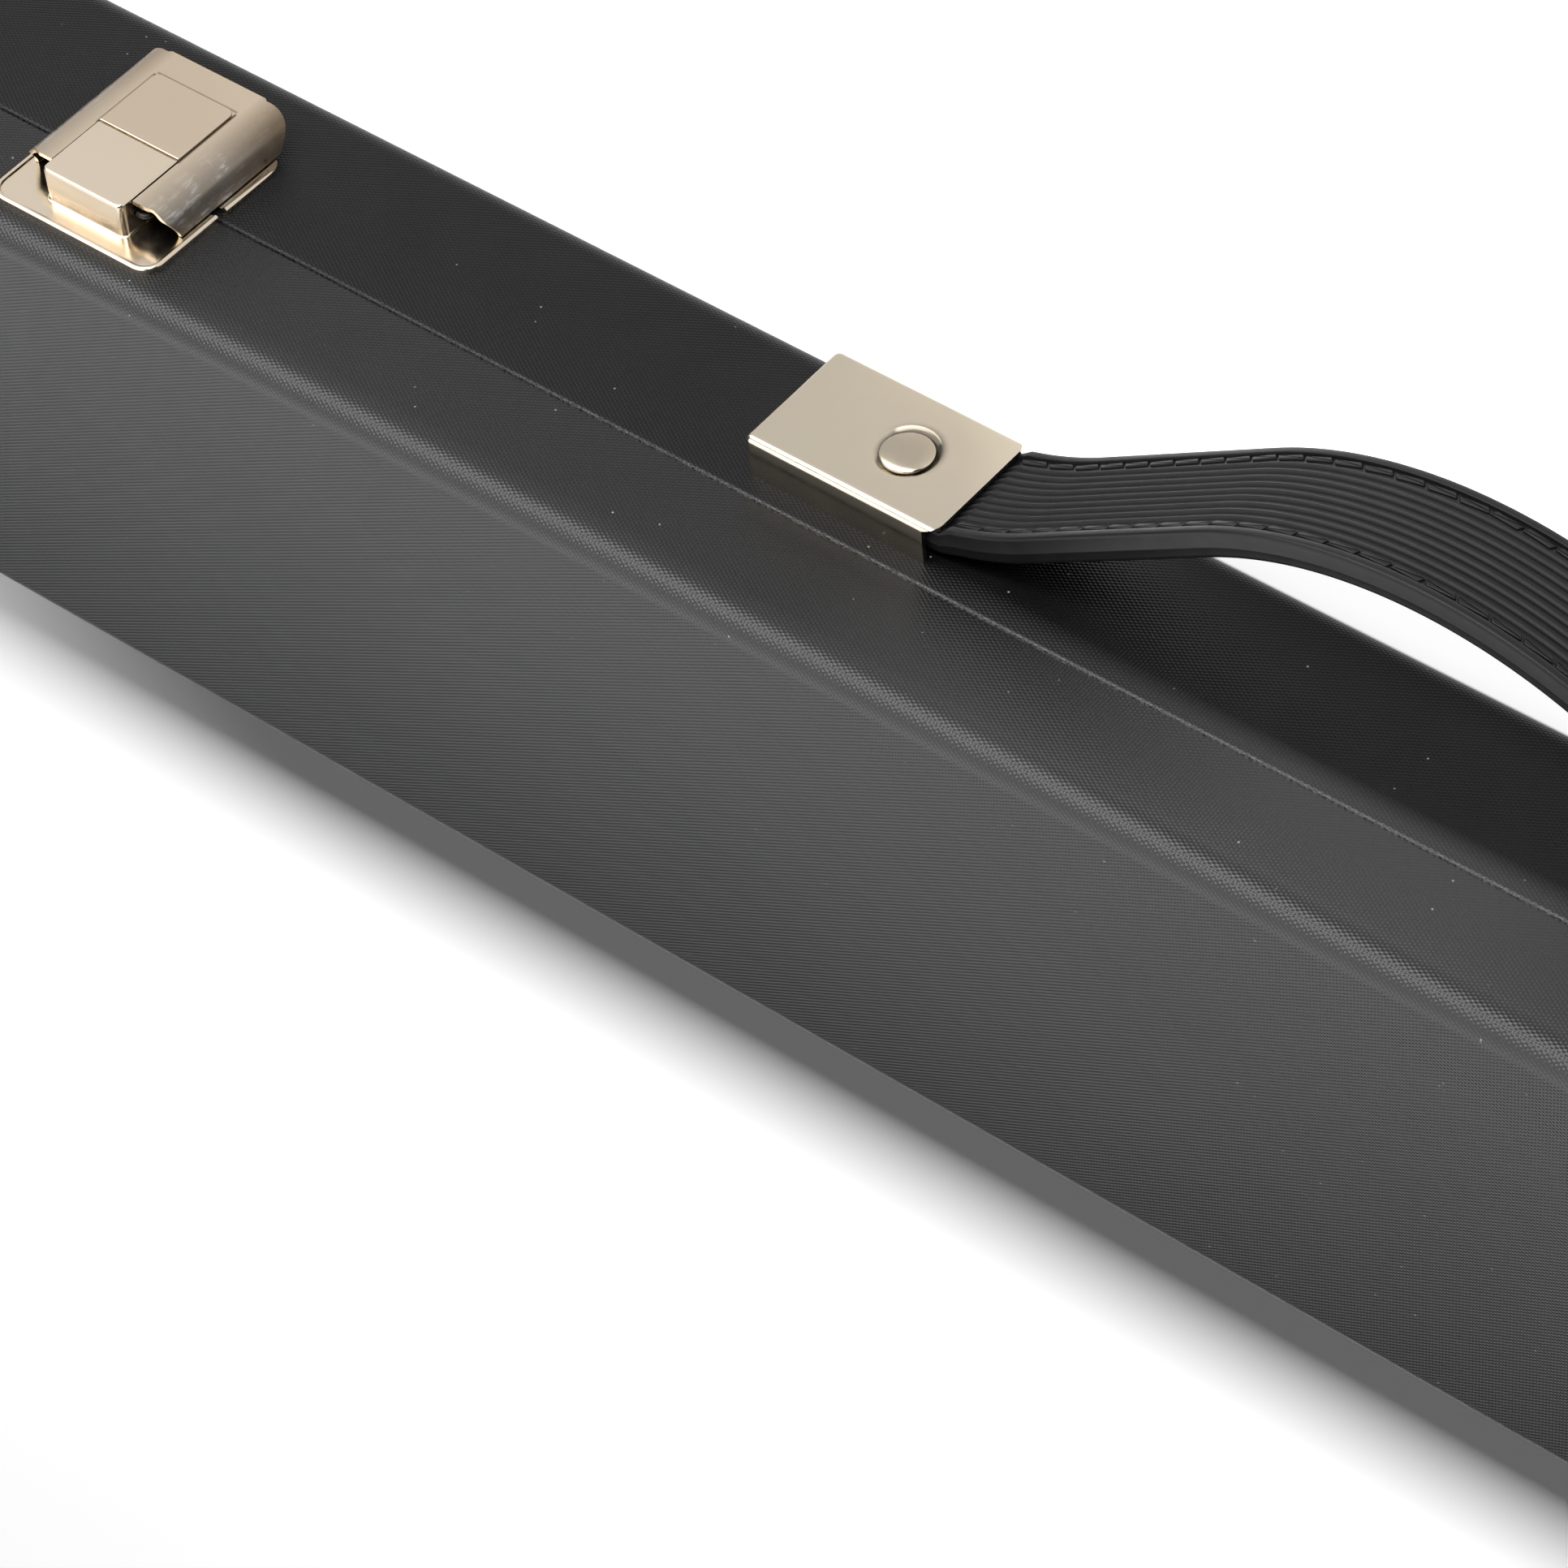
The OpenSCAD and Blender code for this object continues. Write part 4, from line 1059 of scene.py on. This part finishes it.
def latch_box():
    """Drawn box that stands on the lid plate and reaches a little over the seam."""
    bm = bmesh.new()
    block(bm, (-BOX_HALF, BOX_DOWN, SHEET_T + FOOT_R), (BOX_HALF, BOX_UP, LATCH_H))
    bevel(bm, [e for e in edges_along(bm, 2) if e.verts[0].co.y > 0], 1.5, 7)
    bevel(bm, edges_at(bm, lambda c: c.z > LATCH_H - 0.01), 0.6, 5)
    under = [f for f in bm.faces if f.normal.z < -0.9]
    bmesh.ops.delete(bm, geom=under, context="FACES")
    bm.normal_update()
    rim = [e for e in bm.edges if e.is_boundary]
    corner = {vert for edge in rim for vert in edge.verts}
    outward = {vert: Vector((vert.normal.x, vert.normal.y, 0)).normalized() for vert in corner}
    for inset, drop in arc(FOOT_R, 5, False, -1):
        rim, fresh = grow_edges(bm, rim, (0, 0, drop))
        for vert in fresh:
            beside = [e.other_vert(vert) for e in vert.link_edges]
            outward[vert] = next(outward[old] for old in beside if old not in fresh)
            share = min(1.0, max(0.0, vert.co.y - 0.3))
            vert.co += outward[vert] * inset * share
    return with_wall(bm, BOX_WALL)


def finish_latch(bm, side, name, what, material, body, node):
    """Takes a latch piece drawn from the seam to its side of the case and finishes it."""
    place(bm, front(side * LATCH_X))
    finish_piece(bm, f"latch_{name}_{what}", material, body, [f"{node}_{name}"], sharp=35)


def make_latch_plate(side, name):
    """Plate on the lid with the box pressed up from it."""
    bm = sheet_plate(-8, PLATE_UP, 0.2, -1)
    join(bm, latch_box())
    finish_latch(bm, side, name, "plate_and_box", NICKEL, "lid", "latch_plate")


def make_catch(side, name):
    """Catch plate with its hook; the bead stops where the lever lies over the plate."""
    bm = sheet_plate(-CATCH_DOWN, 8, -2.0, 1)
    for vert in bm.verts:
        if vert.co.z > SHEET_T:
            flat = min(1.0, max(0.0, (-10 - vert.co.y) / 3))
            vert.co.z -= (vert.co.z - SHEET_T) * flat
    hook = bmesh.new()
    block(hook, (-HOOK_HALF, HOOK_V, SHEET_T - 0.05), (HOOK_HALF, HOOK_V + HOOK_T, HOOK_H))
    for vert in hook.verts:
        vert.co.y -= (vert.co.z - SHEET_T) * math.tan(HOOK_LEAN)
    bevel(hook, hook.edges, 0.22, 3)
    join(bm, hook)
    finish_latch(bm, side, name, "catch_plate", NICKEL, "base", "latch_catch")


def blend_step(t, low, high):
    """Smooth step from 0 to 1 between two values."""
    t = min(1.0, max(0.0, (t - low) / (high - low)))
    return t * t * (3 - 2 * t)


def lever_blank():
    """Half of the lever with straight ends, and each vertex's way from the slot over the bend."""
    bm = bmesh.new()
    rows = [LEVER_UP, 10.5, 8.5, 6.0, 3.0, SLOT_END, -8.0, PARALLEL_TO]
    rows += [-17.0, -19.0, -21.0, -22.4, -LEVER_DOWN]
    line = [bm.verts.new((SLOT_HALF, v, LEVER_TOP)) for v in rows]
    edges = [bm.edges.new(pair) for pair in zip(line, line[1:])]
    inner = edges[rows.index(SLOT_END):]
    for width in (1.5, 0.6, BEND_U - SLOT_HALF - 2.1):
        edges, fresh = grow_edges(bm, edges, (width, 0, 0))
    run = {vert: vert.co.x - SLOT_HALF for vert in bm.verts}
    lean = math.atan(SKIRT_OUT / (LEVER_TOP - BEND_R - SKIRT_LOW))
    bent = bmesh.ops.spin(bm, geom=edges + fresh, cent=(BEND_U, 0, LEVER_TOP - BEND_R),
                          axis=(0, 1, 0), angle=math.pi / 2 - lean * 0.8, steps=12)["geom_last"]
    for vert in bm.verts:
        if vert not in run:
            turn = math.atan2(vert.co.x - BEND_U, vert.co.z - LEVER_TOP + BEND_R)
            run[vert] = BEND_U - SLOT_HALF + BEND_R * turn
    edges = edges_of(bent)
    end = max(run.values())
    last = max(v.co.x for v in bm.verts), min(v.co.z for v in bm.verts)
    drop = Vector((LEVER_HALF - last[0], 0, SKIRT_LOW - last[1])) / 5
    for step in range(5):
        edges, fresh = grow_edges(bm, edges, drop)
        run.update((vert, end + drop.length * (step + 1)) for vert in fresh)
    run.update((vert, -1.0) for vert in grow_edges(bm, inner, (-SLOT_HALF, 0, 0))[1])
    return bm, run


def lever_sheet():
    """Lever pressed from sheet, its ends trimmed to curves that clear the plate when it swings."""
    bm, run = lever_blank()
    bend, end = BEND_U - SLOT_HALF, max(run.values())
    for vert in bm.verts:
        s, v = run[vert], vert.co.y
        near = 11.7 - 1.9 * blend_step(s, 0.8, 4.8) - 2.2 * blend_step(s, end - 5.5, end)
        swung_clear = PIVOT_V + PIVOT_H - SHEET_T - 0.25 - 0.18 * (vert.co.z - PIVOT_H)
        near = min(near, swung_clear)
        past_bend = max(0.0, (s - bend - 1) / (end - bend - 1))
        far = -LEVER_DOWN + 0.45 * blend_step(s, 1.5, 2.1) + 4.0 * past_bend ** 2.4
        if v > SLOT_END:
            share = (v - SLOT_END) / (LEVER_UP - SLOT_END)
            vert.co.y = SLOT_END + share * (near - SLOT_END)
        elif v < PARALLEL_TO:
            share = (v - PARALLEL_TO) / (-LEVER_DOWN - PARALLEL_TO)
            vert.co.y = PARALLEL_TO + share * (far - PARALLEL_TO)
    bmesh.ops.mirror(bm, geom=everything(bm), axis="X", merge_dist=0.001)
    bmesh.ops.remove_doubles(bm, verts=bm.verts, dist=0.001)
    face_outward(bm)
    if flat_face(bm, lambda c: c.z > LEVER_TOP - 0.1).normal.z < 0:
        turn_over(bm)
    return with_wall(bm, SHEET_T)


def mark_inside(bm):
    """Notes which faces of the lever look inwards and which are its cut rims, for the painted shade
    inside and the painted highlight on the rims.
    """
    layer = bm.faces.layers.float.new(INSIDE)
    bm.normal_update()
    for face in bm.faces:
        middle = face.calc_center_median()
        outward = Vector((middle.x, 0, middle.z + 4)).normalized()
        hidden = middle.z < LEVER_TOP - SHEET_T + 0.1 and abs(middle.x) < BEND_U
        rim = abs(face.normal.y) > 0.7 and not hidden
        face[layer] = -1.0 if rim else float(hidden or face.normal.dot(outward) < -0.3)


def make_lever(side, name):
    """Lever with its raised panel and the two ears that turn on the pivot pin."""
    bm = lever_sheet()
    panel = bmesh.new()
    block(panel, (-BOX_HALF, PANEL_LOW, LEVER_TOP - 0.2), (BOX_HALF, SLOT_END - 0.02, LATCH_H))
    bevel(panel, [e for e in edges_along(panel, 2) if e.verts[0].co.y < PANEL_LOW + 1], 1.5, 6)
    bevel(panel, edges_at(panel, lambda c: c.z > LATCH_H - 0.01), 0.28, 4)
    join(bm, panel)
    for u in (-SLOT_HALF - EAR_T, SLOT_HALF):
        ear = bmesh.new()
        top = LEVER_TOP - SHEET_T + 0.05
        block(ear, (u, SLOT_END, PIVOT_H - 1.5), (u + EAR_T, PIVOT_V + 1.0, top))
        bevel(ear, [e for e in edges_along(ear, 0) if e.verts[0].co.z < PIVOT_H - 1.4], 1.4, 6)
        join(bm, ear)
    mark_inside(bm)
    finish_latch(bm, side, name, "lever", WORN_SHADED_NICKEL, f"lever_{name}", "latch_lever")


for side, name in SIDES:
    make_latch_plate(side, name)
    make_catch(side, name)
    make_lever(side, name)


# ---------- lining ----------

BUTT_W = 34.0
SHAFT_W = 26.0
CHANNEL_L = 750.0
FOAM_WALL = 9.0
FOAM_FLOOR = 3.0
CRADLE_LIP_R = 1.6
PAD_SOFT_EDGE = 7.0
PAD_DROP = 3.2
QUILT_PITCH = 40.0
QUILT_H = 0.35


def trough(low, high, y, width):
    """Channel for one half of the cue: round below, with upright sides."""
    bm = bmesh.new()
    x0, level = low.x + FOAM_WALL, low.z + FOAM_FLOOR + width / 2
    round_end = Matrix.Translation((x0, y, level)) @ Matrix.Rotation(math.radians(90), 4, "Y")
    bmesh.ops.create_circle(bm, cap_ends=True, segments=48, radius=width / 2, matrix=round_end)
    for vert in bm.verts:
        if vert.co.z > level + 0.01:
            off = vert.co.y - y
            vert.co.y = y + math.copysign(width / 2, off) if abs(off) > 0.01 else y
            vert.co.z = high.z + 5 + (vert.co.z - low.z) * 0.01
    far = bmesh.ops.extrude_face_region(bm, geom=bm.faces[:])["geom"]
    move(bm, verts_of(far), (CHANNEL_L, 0, 0))
    face_outward(bm)
    return bm


def make_cradle():
    """Foam cradle with soft-lipped channels for both halves of the cue and a chalk pocket."""
    low, high = corners("cradle")
    bm = bmesh.new()
    block(bm, low, high)
    shoulder = (high.y - low.y - BUTT_W - SHAFT_W) / 3
    bm = subtract(bm, trough(low, high, high.y - shoulder - BUTT_W / 2, BUTT_W))
    bm = subtract(bm, trough(low, high, low.y + shoulder + SHAFT_W / 2, SHAFT_W))
    pocket = bmesh.new()
    block(pocket, (low.x + CHANNEL_L + 2 * FOAM_WALL, low.y + FOAM_WALL, low.z + FOAM_FLOOR),
          (high.x - FOAM_WALL, high.y - FOAM_WALL, high.z + 5))
    bevel(pocket, edges_along(pocket, 2), 4, 5)
    bm = subtract(bm, pocket)
    bm = modified(bm, "BEVEL", width=CRADLE_LIP_R, segments=4, limit_method="ANGLE",
                  angle_limit=math.radians(45), use_clamp_overlap=True)
    place(bm)
    cradle = finish_piece(bm, "cradle_lining", VELOUR, "base", ["cradle"], sharp=60)


def make_lid_pad():
    """Thin foam pad under cloth, a little crowned and drawn in along its edges."""
    low, high = corners("lid_pad")
    bm = bmesh.new()
    block(bm, low, high)
    for axis, cuts in ((0, 150), (1, 18), (2, 3)):
        bmesh.ops.subdivide_edges(bm, edges=edges_along(bm, axis), cuts=cuts, use_grid_fill=True)
    middle, half = (low + high) / 2, (high - low) / 2
    for vert in bm.verts:
        away = vert.co - middle
        inside = [min(1.0, (half[i] - abs(away[i])) / PAD_SOFT_EDGE) ** 0.5 for i in (0, 1)]
        edge = 1 - inside[0] * inside[1]
        z = abs(away.z) / half.z
        if away.z < 0:
            wave = 1 - math.cos(away.y * 2 * math.pi / QUILT_PITCH)
            vert.co.z += PAD_DROP * edge * z + QUILT_H * z * wave * (1 - edge)
        if abs(away.y) > 0.99 * half.y:
            tuck = 1 - math.sin(math.pi * (away.z / half.z + 1) / 2)
            vert.co.y -= math.copysign(0.5 * tuck, away.y)
    place(bm)
    face_outward(bm)
    pad = finish_piece(bm, "lid_pad_cushion", VELOUR, "lid", ["lid_pad"], sharp=60)


make_cradle()
make_lid_pad()


# ---------- finishes of the CAD nodes that stay ----------

FINISHES = {"pine": PINE, "board": BOARD, "nickel": NICKEL, "steel": STEEL, "vinyl": VINYL,
            "strap": STRAP, "velour": VELOUR}
SLOTS = {part["node"]: part["material_slot"] for part in frame["record"]["subparts"]}
for name, node in NODES.items():
    node.data.materials.clear()
    # Pins and bails under the levers are painted near black as shade.
    under_lever = name.startswith(("latch_pivot", "latch_bail"))
    node.data.materials.append(SHADE_DARK_STEEL if under_lever else FINISHES[SLOTS[name]])


# ---------- camera, light and floor ----------

CAMERA_AT = (-0.3881, -0.7996, 0.5792)
CAMERA_RIGHT = Vector((-0.77637597, 0.07593783, -0.62567867))
CAMERA_DOWN = Vector((-0.42391684, 0.67170398, 0.60754282))


def make_camera():
    """Looks along the case from in front of its handle, rolled so that the case slopes."""
    data = bpy.data.cameras.new("camera")
    data.sensor_width = 36
    data.lens = 145.94
    data.clip_start, data.clip_end = 0.05, 20
    camera = new_object("camera", data)
    back = CAMERA_DOWN.cross(CAMERA_RIGHT)
    turn = Matrix((CAMERA_RIGHT, -CAMERA_DOWN, back)).transposed().to_4x4()
    camera.matrix_world = Matrix.Translation(CAMERA_AT) @ turn
    bpy.context.scene.camera = camera


def make_light(name, place_at, aim, size, power, seen_by):
    """Soft panel that faces a point; seen_by is the kind of ray that it lights."""
    data = bpy.data.lights.new(name, "AREA")
    data.shape = "RECTANGLE"
    data.size, data.size_y = size
    data.energy = power
    light = new_object(name, data)
    back = (Vector(place_at) - Vector(aim)).normalized()
    across = Vector((0, 0, 1)).cross(back).normalized()
    turn = Matrix((across, back.cross(across), back)).transposed().to_4x4()
    light.matrix_world = Matrix.Translation(place_at) @ turn
    light.visible_camera = False
    light.visible_diffuse = seen_by == "diffuse"
    light.visible_glossy = seen_by == "glossy"


def make_floor():
    """Pale floor under the case, lit from within where the handle would shade it."""
    material, shader = new_material("pale_floor", (0.93, 0.93, 0.93), 0.9)
    x, y, _ = axes(material, object_coords(material))
    along = fall(material, maths(material, "ABSOLUTE", x), 75, 115)
    ahead = times(material, rise(material, y, -160, -120),
                  fall(material, y, 3 - HALF_W, 4 - HALF_W))
    glow = maths(material, "MULTIPLY", times(material, along, ahead), 0.9)
    feed(material, shader, {"Specular IOR Level": 0.1, "Emission Color": (1, 1, 1, 1),
                            "Emission Strength": glow})
    bm = bmesh.new()
    bmesh.ops.create_grid(bm, x_segments=1, y_segments=1, size=6)
    floor = new_object("floor", mesh_of(bm, "floor"))
    floor.data.materials.append(material)
    floor.location.z = -0.0002


def make_world():
    """White to the camera and dim to the case, whose light comes from the panels."""
    world = bpy.data.worlds.new("studio")
    bpy.context.scene.world = world
    world.use_nodes = True
    seen = add(world, "ShaderNodeLightPath").outputs["Is Camera Ray"]
    feed(world, world.node_tree.nodes["Background"],
         {"Color": (1, 1, 1, 1), "Strength": spread(world, seen, 0.0, 1.0, 0.13, 1.1)})


bpy.context.scene.view_settings.view_transform = "Standard"
make_camera()
# The strip lights the vinyl and the floor; the others are what the metal and the edges mirror.
make_light("front_strip", (0.6, -4.10, 2.05), (0.6, 0.0, 0.03), (9.0, 0.52), 850, "diffuse")
make_light("front_gloss", (0.8, -2.60, 1.55), (0.8, 0.0, 0.05), (6.0, 0.45), 140, "glossy")
make_light("front_card", (1.2, -1.6, 0.50), (1.2, 0.0, 0.50), (3.6, 1.0), 62, "glossy")
make_light("top_card", (1.0, -0.3, 1.7), (1.0, -0.2, 0.0), (3.0, 2.2), 68, "glossy")
make_light("back_card", (0.30, 0.25, 0.44), (0.30, 0.0, 0.44), (1.8, 0.40), 7.6, "glossy")
make_floor()
make_world()
